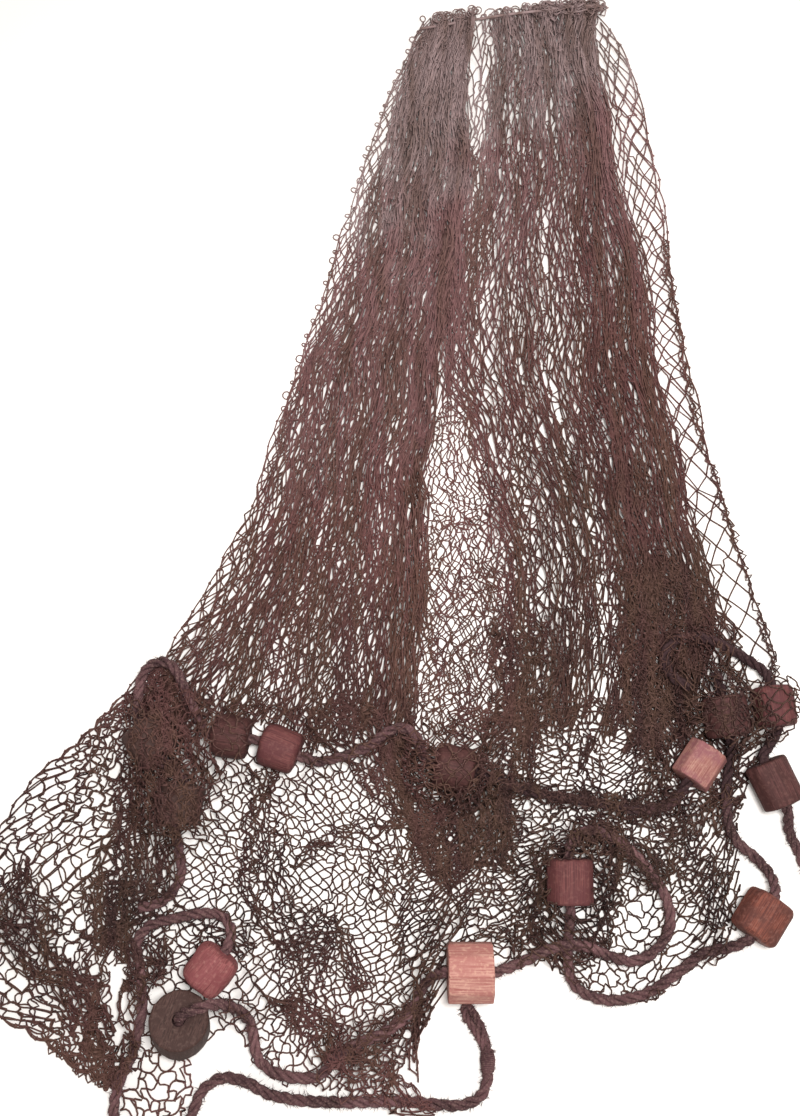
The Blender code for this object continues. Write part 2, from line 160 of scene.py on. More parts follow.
def hempRope():
    # Laid hemp rope, dull and hairy: dark brown in the hollows of the lay, with tan fibres frayed
    # out under 2 mm long, and damp-dark places every few centimetres. Where it lies among the heaps
    # at the right, painted shade makes it darker and hides most of the pale fibres.
    material, tree = newMaterial("laid_hemp_rope", 0.88)
    place = addNode(tree, "TexCoord", "Object")
    across, along = (addNode(tree, "SeparateXYZ", axis, {"Vector": place}) for axis in "XY")
    # painted shade on the rope where it runs among the heaps at the right
    right = addNode(tree, "MapRange", "Result", {
        "Value": across, "From Min": 0.02, "From Max": 0.08})
    above = addNode(tree, "MapRange", "Result", {
        "Value": along, "From Min": -0.31, "From Max": -0.25})
    tar = addNode(tree, "Math", "Value", {0: right, 1: above}, operation="MULTIPLY")
    patches = addNode(tree, "TexNoise", "Fac", {
        "Vector": place, "Scale": 34.0, "Detail": 4.0})
    spot = addNode(tree, "Math", "Value", {0: tar, 1: -0.3, 2: patches},
                   operation="MULTIPLY_ADD")
    shade = addNode(tree, "ValToRGB", "Color", {"Fac": spot}, (
        (0.3, "#352325"), (0.5, "#52383a"), (0.7, "#6c4c4e")))
    fibres = addNode(tree, "TexNoise", "Fac", {
        "Vector": place, "Scale": 600.0, "Detail": 3.0})
    dry = addNode(tree, "MapRange", "Result", {
        "Value": fibres, "From Min": 0.48, "From Max": 0.76, "To Max": 0.6})
    # fewer pale fibres show in that painted shade
    outsidePaintedShade = addNode(tree, "Math", "Value", {0: tar, 1: -0.7, 2: 1.0},
                    operation="MULTIPLY_ADD")
    rubbedAndPaintedLight = addNode(tree, "Math", "Value", {0: dry, 1: outsidePaintedShade}, operation="MULTIPLY")
    wearAndPaintedLight = addNode(tree, "Mix", 2, {0: rubbedAndPaintedLight, 6: shade, 7: "#8b7068"}, data_type="RGBA")
    fuzz = addNode(tree, "Bump", "Normal", {
        "Height": fibres, "Strength": 0.8, "Distance": 0.0009})
    return finished(material, wearAndPaintedLight, fuzz)


def stainedPine(name, pale, deep, stain, rubbedAndPaintedLight):
    # Whittled pine, stained by tar and salt: grain lines 1 mm apart along the float, blotches of
    # 10 to 20 mm where the stain went in, and rubbed specks on what stands proud.
    material, tree = newMaterial(name, 0.7)
    layout = addNode(tree, "UVMap", "UV", uv_map="grain")
    along = addNode(tree, "Mapping", "Vector", {
        "Vector": layout, "Scale": (900.0, 30.0, 1.0)})
    grain = addNode(tree, "TexNoise", "Fac", {
        "Vector": along, "Scale": 1.0, "Detail": 5.0, "Distortion": 0.6})
    wood = addNode(tree, "ValToRGB", "Color", {"Fac": grain},
                   ((0.38, deep), (0.60, pale)))
    place = addNode(tree, "TexCoord", "Object")
    blots = addNode(tree, "TexNoise", "Fac", {
        "Vector": place, "Scale": 75.0, "Detail": 4.0})
    stained = workedIn(tree, wood, stain, blots, 0.42, 0.60, 0.85)
    specks = addNode(tree, "TexNoise", "Fac", {
        "Vector": place, "Scale": 340.0, "Detail": 6.0})
    wearAndPaintedLight = workedIn(tree, stained, rubbedAndPaintedLight, specks, 0.52, 0.72, 0.45)
    height = addNode(tree, "Math", "Value", {0: grain, 1: specks}, operation="ADD")
    raised = addNode(tree, "Bump", "Normal", {
        "Height": height, "Strength": 0.8, "Distance": 0.0005})
    return finished(material, wearAndPaintedLight, raised)


twine = tarredTwine()
ropeYarn = hempRope()
woods = {
    "pink": stainedPine("pine_stained_pink", "#b88a7d", "#925852", "#9e6760", "#cda58f"),
    "salmon": stainedPine("pine_stained_salmon", "#9f7268", "#7e4c47", "#805054", "#b08c7b"),
    "coral": stainedPine("pine_stained_coral", "#8d5352", "#693839", "#7a4244", "#a3746c"),
    "rose": stainedPine("pine_stained_rose", "#683c3a", "#4a2829", "#562f30", "#78514b"),
    "rust": stainedPine("pine_stained_rust", "#7c473a", "#4e2925", "#55322c", "#8a5e53"),
    "plum": stainedPine("pine_stained_plum", "#573533", "#37201e", "#422725", "#684741"),
    "tar": stainedPine("pine_tarred", "#4e3833", "#33231f", "#3d2a26", "#665049"),
}
print("materials made")


# Floats, whittled to flats from round stock. Lumps and marks are (how many a metre, how deep),
# the lumps' depth being a share of the wear.
whittling = {"bore": 10.9, "edge": 1.1, "smooth": 32, "lumps": (70, 0.14), "marks": (420, 0.22)}
noise.seed_set(12)     # without a seed the lumps and marks differ from run to run
grainRadius = 0.021    # metres of grain in a radian round a float
endGrain = 4           # how many times shorter the grain is on the ends
bed = 3.3              # the height a float rests at, on the net
floatKeys = ("x", "y", "heading", "length", "diameter", "tilt", "wood", "flats", "wearAndPaintedLight")
floatRows = (
    (-150, -168, -8, 33, 42, 0, "plum", 7, 8.0),
    (-106, -178, -21, 35, 42, 0, "rose", 7, 8.0),
    (48, -195, -11, 36, 43, 0, "plum", 8, 8.5),
    (264, -192, 54, 34, 37, 0, "salmon", 8, 1.6),
    (329, -208, -67, 40, 40, 0, "plum", 8, 3.5),
    (334, -141, -86, 36, 38, 0, "rose", 11, 5.5),
    (290, -150, -82, 36, 42, 0, "plum", 10, 4.5),
    (146, -291, -91, 38, 42, 0, "rose", 9, 4.0),
    (309, -320, -125, 38, 44, 0, "rust", 7, 6.0),
    (59, -364, 180, 38, 50, 0, "pink", 10, 1.4),
    (-160, -362, -128, 36, 44, 0, "coral", 6, 9.0),
    (-183, -405, 75, 34, 50, 66, "tar", 14, 3.0),
    (-192, -225, 80, 34, 42, 0, "tar", 10, 4.5),
    (-221, -172, 124, 34, 42, 0, "tar", 9, 4.5),
)
floatPlaces = {f"float_{number:02d}": dict(zip(floatKeys, row))
               for number, row in enumerate(floatRows, 1)}
floatNames = list(floatPlaces)


def floatFrame(item):
    heading, tilt = math.radians(item["heading"]), math.radians(item["tilt"])
    axis = Vector((math.cos(tilt) * math.cos(heading), math.cos(tilt) * math.sin(heading),
                   math.sin(tilt)))
    rise = 0.5 * (item["length"] * math.sin(tilt) + item["diameter"] * math.cos(tilt))
    return Vector((item["x"], item["y"], bed + rise)), axis


def choose(obj, kind, test):
    # selects the faces or edges that pass test, and leaves the object in edit mode
    bpy.ops.object.mode_set(mode="EDIT")
    bpy.ops.mesh.select_mode(type=kind)
    bpy.ops.mesh.select_all(action="DESELECT")
    bpy.ops.object.mode_set(mode="OBJECT")
    verts = obj.data.vertices
    for part in obj.data.polygons if kind == "FACE" else obj.data.edges:
        part.select = test([verts[i].co for i in part.vertices])
    bpy.ops.object.mode_set(mode="EDIT")


def layGrain(mesh):
    # a flat layout in metres: round the float and along it, or across its ends
    layout = mesh.uv_layers.new(name="grain")
    for face in mesh.polygons:
        onEnd = abs(face.normal.z) > 0.7
        middle = math.atan2(face.center.y, face.center.x)
        for loop in face.loop_indices:
            spot = mesh.vertices[mesh.loops[loop].vertex_index].co
            turn = math.atan2(spot.y, spot.x) - middle
            turn = middle + (turn + math.pi) % (2 * math.pi) - math.pi
            layout.data[loop].uv = ((spot.x, spot.y * endGrain) if onEnd
                                    else (turn * grainRadius, spot.z))


def whittleFloat(name, item):
    half, outer = item["length"] / 2 * mm, item["diameter"] / 2 * mm
    hole, flats = whittling["bore"] / 2 * mm, item["flats"]
    atEnd, atRim = half * 0.99, outer * 0.8
    bpy.ops.mesh.primitive_cylinder_add(vertices=flats, radius=outer, depth=2 * half)
    obj = bpy.context.object
    obj.name = name + "_wood"
    choose(obj, "FACE", lambda spots: all(abs(s.z) > atEnd for s in spots) and len(spots) > 4)
    bpy.ops.mesh.inset(thickness=outer * math.cos(math.pi / flats) - hole)
    bpy.ops.mesh.delete(type="ONLY_FACE")
    choose(obj, "EDGE", lambda spots: all(s.xy.length < outer / 2 for s in spots))
    bpy.ops.mesh.bridge_edge_loops()
    choose(obj, "EDGE", lambda spots: all(s.xy.length > atRim and abs(s.z) > atEnd
                                          for s in spots))
    bpy.ops.mesh.bevel(offset=item["wearAndPaintedLight"] * mm, segments=3, profile=0.55)
    choose(obj, "EDGE", lambda spots: (spots[0] - spots[1]).length > half * 0.9
           and all(s.xy.length > atRim for s in spots))
    bpy.ops.mesh.bevel(offset=whittling["edge"] * mm, segments=2)
    choose(obj, "FACE", lambda spots: True)
    bpy.ops.mesh.subdivide(number_cuts=1)
    bpy.ops.mesh.normals_make_consistent(inside=False)
    bpy.ops.object.mode_set(mode="OBJECT")
    seed = Vector((item["x"], item["y"], 7))
    (lumps, lumpDepth), (marks, markDepth) = whittling["lumps"], whittling["marks"]
    for vert in obj.data.vertices:
        if vert.co.xy.length > hole * 1.4:
            vert.co += noise.noise_vector(vert.co * lumps + seed) * item["wearAndPaintedLight"] * lumpDepth * mm
            vert.co += noise.noise_vector(vert.co * marks + seed) * markDepth * mm
    layGrain(obj.data)
    centre, axis = floatFrame(item)
    side = Vector((0, 0, 1)).cross(axis).normalized()
    place = Matrix((side, axis.cross(side), axis)).transposed().to_4x4()
    place.translation = toFrame(centre)
    obj.data.transform(place)
    bpy.ops.object.shade_smooth_by_angle(angle=math.radians(whittling["smooth"]))
    obj.data.materials.append(woods[item["wood"]])
    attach(obj, "root")
    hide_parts(name)
    bpy.ops.object.select_all(action="DESELECT")


for name, item in floatPlaces.items():
    whittleFloat(name, item)
print("floats made")


def makeMesh(name, parts, material):
    # one piece from a list of (points, faces), its flat layout taken from the plan
    points, faces, start = [], [], 0
    for partPoints, partFaces in parts:
        points.append(np.asarray(partPoints, float).reshape(-1, 3))
        faces += [(np.asarray(block) + start).tolist() for block in partFaces]
        start += len(points[-1])
    points = np.concatenate(points)
    mesh = bpy.data.meshes.new(name)
    mesh.from_pydata(points.tolist(), [], [face for block in faces for face in block])
    layout = mesh.uv_layers.new(name="OFBake")
    low, high = points[:, :2].min(axis=0), points[:, :2].max(axis=0)
    corners = np.empty(len(mesh.loops), dtype=np.int32)
    mesh.loops.foreach_get("vertex_index", corners)
    layout.data.foreach_set("uv", ((points[:, :2] - low) / (high - low))[corners].ravel())
    mesh.shade_smooth()
    mesh.materials.append(material)
    obj = bpy.data.objects.new(name, mesh)
    bpy.context.scene.collection.objects.link(obj)
    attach(obj, "root")
    return obj


# Height maps over the plan, for what the twine and the rope lie on.
mapStep = 2.0
mapLow = np.array((-392.0, -532.0))
mapSize = (398, 588)
drape = {"slope": 1.1, "steps": 22}    # how net comes down from what it covers


def treeOf(names):
    points, faces = [], []
    for name in names:
        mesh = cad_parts[name].data
        start = len(points)
        points += [vert.co.copy() for vert in mesh.vertices]
        faces += [[start + i for i in face.vertices] for face in mesh.polygons]
    return BVHTree.FromPolygons(points, faces)


def topAt(tree, x, y):
    hit = tree.ray_cast(toFrame((x, y, 200)), Vector((0, 0, -1)))[0]
    return hit.z / mm if hit else 0.0


def heightMap(tree):
    heights = np.zeros(mapSize)
    for column, row in np.ndindex(mapSize):
        heights[column, row] = topAt(tree, *(mapLow + mapStep * np.array((column, row))))
    return heights


def grown(heights, drop):
    spread = heights
    for axis in (0, 1):
        for way in (1, -1):
            spread = np.maximum(spread, np.roll(heights, way, axis=axis) - drop)
    return spread


def tented(heights, slope, steps):
    # net over a lump comes down to the floor on a slant, and not straight down its side
    for _ in range(steps):
        heights = grown(heights, slope * mapStep)
    return heights


def heightAt(heights, x, y):
    column = np.clip((x - mapLow[0]) / mapStep, 0, mapSize[0] - 1.01)
    row = np.clip((y - mapLow[1]) / mapStep, 0, mapSize[1] - 1.01)
    c, r = column.astype(int), row.astype(int)
    a, b = column - c, row - r
    return ((1 - a) * (1 - b) * heights[c, r] + a * (1 - b) * heights[c + 1, r]
            + (1 - a) * b * heights[c, r + 1] + a * b * heights[c + 1, r + 1])


ropeNames = ["rope_tail", "rope_left", "rope_right", "rope_foot"]
netTree = treeOf(["netting"])
netMap = heightMap(netTree)
coveredMap = tented(heightMap(treeOf(["netting"] + floatNames + ropeNames)), **drape)
# 1 where the net lies, its meshes filled and its edge 4 mm wider, and 0 past it
footprint = (netMap > 0).astype(float)
for _ in range(12):
    footprint = grown(footprint, 0)
for _ in range(10):
    footprint = -grown(-footprint, 0)
print("height maps made")


# The float rope. A point is (x, y) where the rope lies on what is under it, or (x, y, lift) above
# that, and a whole number names the float that it passes through.
ropeDiameter = 9.5
clearance = 0.7
strandsAcross = 2.155    # three round strands fill a circle this many of them across
# Hairs are so many for each step. A strand's wander round the rope, its distance from the middle
# and its thickness vary by (share, length of a wave, share at random).
lay = {"step": 2.4, "pitch": 31, "hairs": 4.5, "reach": 6.5, "wander": (0.25, 31),
       "spread": (0.07, 23, 0.03), "swell": (0.05, 9, 0.05)}
ropes = {
    "rope_tail": {"farEnd": "knot", "fromEnd": True, "route": (
        (74, -447), (73, -455), (66, -467), (50, -472), (33, -471), (9, -468), (-33, -468),
        (-74, -469), (-106, -465), (-128, -455), (-150, -451), (-166, -461), (-175, -480),
        (-187, -498), (-208, -507), (-229, -499), (-239, -478), (-236, -455), (-226, -432),
        (-221, -409), (-220, -386), (-223, -362), (-227, -343), (-216, -328), (-196, -323),
        (-178, -319), (-161, -318, 3), (-150, -323, 7), (-144, -334, 12), 11)},
    "rope_left": {"farEnd": "object", "fromEnd": False, "route": (
        (-226, -313), (-212, -311), (-199, -302), (-191, -285), (-194, -265, 2), 13, 14,
        (-236, -140, 4), (-236, -120), (-229, -106), (-217, -100), (-205, -105), (-196, -119),
        (-188, -138), (-177, -157, 6), 1, 2, (-72, -189, 4), (-50, -184), (-28, -176), (-13, -164),
        (2, -159), (14, -166, 2), (19, -180, 8), 3, (86, -206, 4), (124, -217), (170, -224),
        (212, -231), (238, -226, 3), 4)},
    "rope_right": {"farEnd": "bareAndUnshaded", "fromEnd": False, "route": (
        (262, -123), (246, -113), (240, -97), (249, -82), (268, -77), (290, -83), (312, -94),
        (329, -108, 6), 6, (329, -173, 12), 5, (343, -247, 3), (350, -264), (359, -288),
        (372, -312))},
    "rope_foot": {"farEnd": "object", "fromEnd": False, "route": (
        (285, -110, 6), 7, (295, -183, 6), (293, -197, 1), (290, -212), (289, -228), (290, -245),
        (298, -260), (312, -272), (323, -285, 5), 9, (285, -345, 6), (263, -351), (242, -364),
        (222, -378), (196, -388), (170, -388), (150, -378), (144, -357), (146, -332, 3), 8,
        (152, -256, 4), (170, -248), (192, -257), (211, -276), (227, -297), (234, -317),
        (231, -336), (217, -351), (198, -358), (180, -353, 2), (163, -346, 8), (146, -343, 11),
        (128, -346, 11), (108, -355, 11), 10, (28, -369, 6), (18, -381), (8, -398), (-10, -411),
        (-36, -422), (-54, -434), (-68, -447), (-88, -449), (-106, -446), (-119, -436),
        (-124, -421), (-126, -408, 5), (-131, -397, 17), (-140, -389, 33), (-151, -385, 46),
        (-163, -387, 52), (-174, -391, 49), 12)},
}


def lyingHeight(x, y):
    around = ((0, 0), (4, 0), (-4, 0), (0, 4), (0, -4), (3, 3), (-3, 3), (3, -3), (-3, -3))
    return max(topAt(netTree, x + dx, y + dy) for dx, dy in around) + ropeDiameter / 2 + clearance


def spline(before, start, end, after, t):
    return (start + 0.5 * t * (end - before)
            + t * t * (before - 2.5 * start + 2 * end - 0.5 * after)
            + t * t * t * (-0.5 * before + 1.5 * start - 1.5 * end + 0.5 * after))


def ropeStretches(route):
    # the route split at the floats, each stretch with the point before it and after it
    stretches, points, before = [], [], None
    for index, item in enumerate(route):
        if not isinstance(item, int):
            points.append(Vector((*item, 0)[:3]))
            continue
        settings = floatPlaces[f"float_{item:02d}"]
        centre, axis = floatFrame(settings)
        if (centre - (points[-1] if points else before)).dot(axis) < 0:
            axis = -axis
        reach = settings["length"] / 2 + 2
        entry = centre - axis * reach
        stretches.append((before, points + [entry], centre))
        if index == len(route) - 1:
            stretches.append((None, [entry, centre + axis * (reach - 5)], None))
        before, points = centre, [centre + axis * reach]
    if points and len(points) > 1:
        stretches.append((before, points, None))
    return stretches


def ropeLine(route, step):
    line = []
    for before, points, after in ropeStretches(route):
        straight = len(points) == 2 and before is None and after is None
        for index, point in enumerate(points):
            atFloat = (index == 0 and before is not None) or (
                index == len(points) - 1 and after is not None)
            if not (atFloat or straight):
                point.z += lyingHeight(point.x, point.y)
        spots = ([before or points[0] * 2 - points[1]] + points
                 + [after or points[-1] * 2 - points[-2]])
        for index in range(1, len(spots) - 2):
            span = (spots[index + 1] - spots[index]).length
            steps = 1 if straight else max(2, round(span / step))
            line += [spline(*spots[index - 1:index + 3], t / steps) for t in range(steps)]
        line.append(points[-1].copy())
    # where the net under it is taller, the rope rises in a long low hump
    need = [lyingHeight(point.x, point.y) for point in line]
    tall = [max(need[max(i - 4, 0):i + 5]) for i in range(len(need))]
    soft = [float(np.mean(tall[max(i - 4, 0):i + 5])) for i in range(len(tall))]
    kept = [(line[0].x, line[0].y, max(line[0].z, soft[0]))]
    for point, low in zip(line[1:], soft[1:]):
        if (Vector((point.x, point.y)) - Vector(kept[-1][:2])).length > 0.5:
            kept.append((point.x, point.y, max(point.z, low)))
    return np.array(kept)


def evenly(points, step):
    run = runAlong(points)
    places = np.linspace(0, run[-1], max(3, round(run[-1] / step) + 1))
    return sampled(points, run, places)


def framesAlong(points):
    tangents = unit(np.gradient(points, axis=0), 0)
    side = np.cross(tangents[0], (0.0, 0.0, 1.0))
    sides = []
    for tangent in tangents:
        side = side - tangent * side.dot(tangent)
        side = side / np.linalg.norm(side)
        sides.append(side)
    sides = np.array(sides)
    return tangents, sides, np.cross(tangents, sides)


def sweep(points, radii, sides):
    # a closed round length along points, with a radius at each
    _, sideways, upwards = framesAlong(points)
    angles = 2 * math.pi * np.arange(sides) / sides
    ring = (sideways[:, None] * np.cos(angles)[None, :, None]
            + upwards[:, None] * np.sin(angles)[None, :, None])
    verts = points[:, None] + ring * np.broadcast_to(radii, len(points))[:, None, None]
    rows, cols = np.meshgrid(np.arange(len(points) - 1), np.arange(sides), indexing="ij")
    after = (cols + 1) % sides
    quads = np.stack([rows * sides + cols, rows * sides + after,
                      (rows + 1) * sides + after, (rows + 1) * sides + cols], axis=-1)
    last = (len(points) - 1) * sides
    caps = [list(range(sides))[::-1], [last + i for i in range(sides)]]
    return toScene(verts.reshape(-1, 3)), [quads.reshape(-1, 4), caps]


def layRope(points, diameter, pitch, rng):
    # three strands round the line, each a little loose and uneven
    _, sides, ups = framesAlong(points)
    run = runAlong(points)
    strand = diameter / strandsAcross
    wander, wanderRun = lay["wander"]
    spread, spreadRun, spreadNoise = lay["spread"]
    swell, swellRun, swellNoise = lay["swell"]
    parts = []
    for number in range(3):
        angle = 2 * math.pi * (run / pitch + number / 3) + wander * np.sin(run / wanderRun + number)
        away = (diameter - strand) / 2 * (1 + spread * np.sin(run / spreadRun + number * 2)
                                          + rng.normal(0, spreadNoise, len(run)))
        middle = (points + sides * (np.cos(angle) * away)[:, None]
                  + ups * (np.sin(angle) * away)[:, None])
        thick = strand / 2 * (1.05 + swell * np.sin(run / swellRun + number)
                              + rng.normal(0, swellNoise, len(run)))
        parts.append(sweep(middle, thick, 7))
    return parts


# A hair starts this share of the diameter from the middle, and leans along the rope.
hair = {"root": 0.42, "lean": 0.9, "stray": 0.3, "shortest": 0.3, "lowest": 0.6, "radius": 0.3}


def hairs(points, diameter, perPoint, reach, rng):
    # fibres that stand out of a rope, each a thin three-sided spike
    tangents, sides, ups = framesAlong(points)
    count = int(len(points) * perPoint)
    picks = rng.integers(1, len(points) - 1, count)
    angle = rng.uniform(0, 2 * math.pi, count)
    out = sides[picks] * np.cos(angle)[:, None] + ups[picks] * np.sin(angle)[:, None]
    root = points[picks] + out * diameter * hair["root"]
    heading = out + tangents[picks] * rng.normal(0, hair["lean"], count)[:, None]
    heading = unit(heading + rng.normal(0, hair["stray"], (count, 3)), 0)
    tip = root + heading * (rng.uniform(hair["shortest"], 1, count)[:, None] * reach)
    tip[:, 2] = np.maximum(tip[:, 2], hair["lowest"])
    side = unit(np.cross(heading, rng.normal(0, 1, heading.shape)))
    up = np.cross(heading, side)
    ring = [root + (side * math.cos(a) + up * math.sin(a)) * hair["radius"]
            for a in (0, 2.094, 4.189)]
    verts = np.stack(ring + [tip], axis=1)
    faces = np.array(((0, 1, 3), (1, 2, 3), (2, 0, 3), (2, 1, 0)))
    base = np.arange(count)[:, None, None] * 4
    return toScene(verts.reshape(-1, 3)), [(base + faces[None]).reshape(-1, 3)]


# The eye at the rope's free end: a slim loop of the same rope, and a whipping below it.
eye = {
    "loop": ((73, -432, 5.4), (70, -424, 5.2), (65.5, -416, 5), (60, -408, 4.8), (55.5, -401, 4.6),
             (55, -396, 4.6), (58.5, -395, 4.6), (63, -400, 4.8), (68, -409, 5), (72, -419, 5.2),
             (74.5, -429, 5.4)),
    "diameter": 7.2, "pitch": 22, "hairs": 10, "reach": 4.5,
    "whipping": ((74, -428, 6.0), (74, -436, 6.4), (74, -447, 6.0)), "turns": 13, "twine": 1.5,
    "thick": (4.2, 6.2, 4.6), "across": 11.5, "whippingHairs": 20, "whippingReach": 4.0,
}


def splineThrough(points, step):
    points = np.array(points, float)
    ends = [2 * points[0] - points[1], *points, 2 * points[-1] - points[-2]]
    line = [spline(*ends[i:i + 4], t / 12) for i in range(len(points) - 1) for t in range(12)]
    return evenly(np.array(line + [points[-1]]), step)


def makeEye():
    rng = np.random.default_rng(5)
    loop = splineThrough(eye["loop"], 2.0)
    parts = layRope(loop, eye["diameter"], eye["pitch"], rng)
    core = splineThrough(eye["whipping"], 1.5)
    share = np.linspace(0, 1, len(core))
    thick = np.interp(share, (0, 0.45, 1), eye["thick"])
    parts.append(sweep(core, thick - 0.4, 10))
    turns = np.linspace(0.04, 0.96, eye["turns"] * 12)
    centre = sampled(core, share, turns)
    reach = np.interp(turns, share, thick)
    angle = 2 * math.pi * eye["turns"] * turns
    centre[:, 0] += np.cos(angle) * reach
    centre[:, 2] = np.maximum(centre[:, 2] + np.sin(angle) * reach, 1.0)
    parts.append(sweep(centre, eye["twine"] / 2, 5))
    parts.append(hairs(loop, eye["diameter"], eye["hairs"], eye["reach"], rng))
    parts.append(hairs(core, eye["across"], eye["whippingHairs"], eye["whippingReach"], rng))
    obj = makeMesh("rope_eye_spliced", parts, ropeYarn)
    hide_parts("rope_eye")
    return obj


eyePiece = makeEye()
fuzz = []
for number, (name, spec) in enumerate(ropes.items()):
    rng = np.random.default_rng(40 + number)
    line = evenly(ropeLine(spec["route"], 4.0), lay["step"])
    obj = makeMesh(name + "_laid", layRope(line, ropeDiameter, lay["pitch"], rng), ropeYarn)
    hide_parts(name)
    fuzz.append(hairs(line, ropeDiameter, lay["hairs"], lay["reach"], rng))
makeMesh("rope_hairs", fuzz, ropeYarn)
print("ropes made")


# The net's own cuts, as points at its left edge, middle and right edge, and its foot as
# (share across, x, y).
netCuts = np.array((
    ((24, 578), (118, 592), (216, 601)), ((6, 526), (124, 527), (243, 526)),
    ((-18, 422), (118, 423), (258, 422)), ((-51, 303), (104, 300), (269, 303)),
    ((-105, 158), (92, 152), (282, 158)), ((-146, 36), (82, 30), (310, 36)),
    ((-207, -78), (74, -88), (340, -80)), ((-258, -139), (60, -165), (350, -140)),
    ((-326, -204), (45, -237), (310, -215)), ((-362, -254), (25, -288), (302, -262)),
    ((-376, -330), (5, -338), (298, -300))), float)
netFoot = np.array((
    (0.00, -345, -400), (0.06, -315, -420), (0.11, -280, -438), (0.14, -256, -455),
    (0.17, -242, -468), (0.195, -220, -498), (0.22, -193, -492), (0.25, -178, -468),
    (0.27, -190, -436), (0.285, -165, -406), (0.305, -138, -408), (0.33, -122, -436),
    (0.36, -105, -453), (0.41, -60, -455), (0.44, -40, -468), (0.47, -15, -480),
    (0.50, 26, -480), (0.53, 0, -442), (0.555, 20, -410), (0.58, 42, -372),
    (0.64, 100, -362), (0.69, 130, -356), (0.72, 142, -372), (0.76, 160, -388),
    (0.81, 190, -395), (0.86, 220, -392), (0.91, 252, -374), (0.96, 284, -346),
    (1.00, 302, -312)), float)
barLength = 15.0      # twine between two knots
knotShare = 1.14      # a bar's twine with its share of the knots, against the bar alone
rowShare = 0.92       # how much of a bar's length each row adds to the net's flat length
longestBar = 1.7      # a bar drawn out past this many lengths is left out
leastRise = 1.2       # no thread's middle lies lower than this over the floor
bowing = {"least": 0.4, "most": 5.5, "curl": 0.45}    # of slack bars
sideKnot = 1.7        # radius of the knots down a side edge
sideBar = 1.5         # how many bars long the twine between two of those is
thirdTurns = (0, 2.0944, 4.1888)
fineSteps = 260       # steps down the net when a window of it is laid out
planSeed = 500        # a layer's plan draws its numbers apart from its threads
# Waves across the net as (size, how fast from column to column): how far neighbouring columns
# slide past each other, and how far the foot runs out.
slideWaves = ((0.8, 0.83), (0.7, 0.37))
footWaves = ((0.3, 0.19), (0.2, 0.43))


def onNet(across, place):
    # where a share across the net and a place down it, counted in cuts, lies on the plan
    last = len(netCuts) - 1
    index = np.minimum(np.clip(place, 0, last).astype(int), last - 1)
    t = (np.clip(place, 0, last) - index)[..., None, None]
    edges = spline(*[netCuts[np.clip(index + step, 0, last)] for step in (-1, 0, 1, 2)], t)
    u = across[..., None]
    point = (edges[..., 0, :] * (2 * u - 1) * (u - 1) + edges[..., 1, :] * 4 * u * (1 - u)
             + edges[..., 2, :] * u * (2 * u - 1))
    hem = sampled(netFoot[:, 1:], netFoot[:, 0], across)
    return point + (hem - point) * np.clip(place - last, 0, None)[..., None]


def drifted(rng, points, shortest, longest, reach):
    # slow wandering of the meshes, as the net crumples
    moved = points.copy()
    for _ in range(9):
        length, way = rng.uniform(shortest, longest), rng.uniform(0, 2 * math.pi)
        size = reach / 3 * length / (shortest + longest) * 2
        run = (points[..., 0] * math.cos(way) + points[..., 1] * math.sin(way)) / length
        for axis in (0, 1):
            moved[..., axis] += size * np.sin(2 * math.pi * (run + rng.random()))
    return moved


def crowded(spec, down, rng):
    # the share across of every column at places down the net, more of them where it is folded
    spots = np.linspace(0, 1, 401)
    waves = [(k, rng.random()) for k in (5, 9, 14, 23)]
    out = []
    for share in down:
        weight = np.ones_like(spots)
        for head, foot, width, crowd in spec["folds"]:
            middle = head + (foot - head) * share
            weight += crowd * np.exp(-((spots - middle) / width) ** 2)
        for k, shift in waves:
            wave = np.sin(2 * math.pi * (k * spots + shift + share * 0.3))
            weight *= 1 + spec["streaks"] * wave
        total = np.concatenate([[0], np.cumsum((weight[1:] + weight[:-1]) / 2)])
        out.append(np.interp(np.linspace(0, 1, spec["columns"] + 1), total / total[-1], spots))
    return np.array(out)


def windowPlan(spec):
    # the part of the net between two lines that run down it, as rows of (place, left, right)
    place, left, right = np.array(spec["window"], float).T
    rng = np.random.default_rng(spec["seed"] + planSeed)
    fine = np.linspace(place[0], place[-1], fineSteps)
    low, high = np.interp(fine, place, left), np.interp(fine, place, right)
    share = crowded(spec, np.linspace(0, 1, fineSteps), rng)
    points = onNet(low[:, None] + (high - low)[:, None] * share, fine[:, None])
    run = np.linalg.norm(np.diff(points, axis=0), axis=2).cumsum(axis=0)
    run = np.concatenate([np.zeros((1, spec["columns"] + 1)), run / run[-1]])
    # meshes of neighbouring columns slide past each other, and the foot runs out unevenly
    column = np.arange(spec["columns"] + 1) + spec["seed"]
    slide = sum(size * np.sin(column * rate) for size, rate in slideWaves)
    slide = (slide + rng.normal(0, 0.15, len(column))) * spec["slide"]
    wave = sum((size * np.sin(column * rate) for size, rate in footWaves), 0.5)
    reach = 1 - wave * spec["ragged"] / (place[-1] - place[0])
    begin = wave[::-1] * spec["raggedHead"] / (place[-1] - place[0])
    rows = np.arange(spec["rows"] + 1)
    calm = np.clip(np.minimum(rows, spec["rows"] - rows) / 3, 0, 1)
    plan = np.empty((len(rows), len(column), 2))
    for c in range(len(column)):
        wanted = begin[c] + (rows + slide[c] * calm) / spec["rows"] * (reach[c] - begin[c])
        plan[:, c] = sampled(points[:, c], run[:, c], wanted)
    return plan


def edgesPlan(spec):
    # a piece of net that lies evenly between two edges
    sides = []
    for edge in spec["edges"]:
        line = np.array(edge, float)
        run = runAlong(line)
        sides.append(sampled(line, run, np.linspace(0, run[-1], spec["rows"] + 1)))
    rng = np.random.default_rng(spec["seed"] + planSeed)
    share = crowded(spec, np.linspace(0, 1, spec["rows"] + 1), rng)[..., None]
    return sides[0][:, None] * (1 - share) + sides[1][:, None] * share


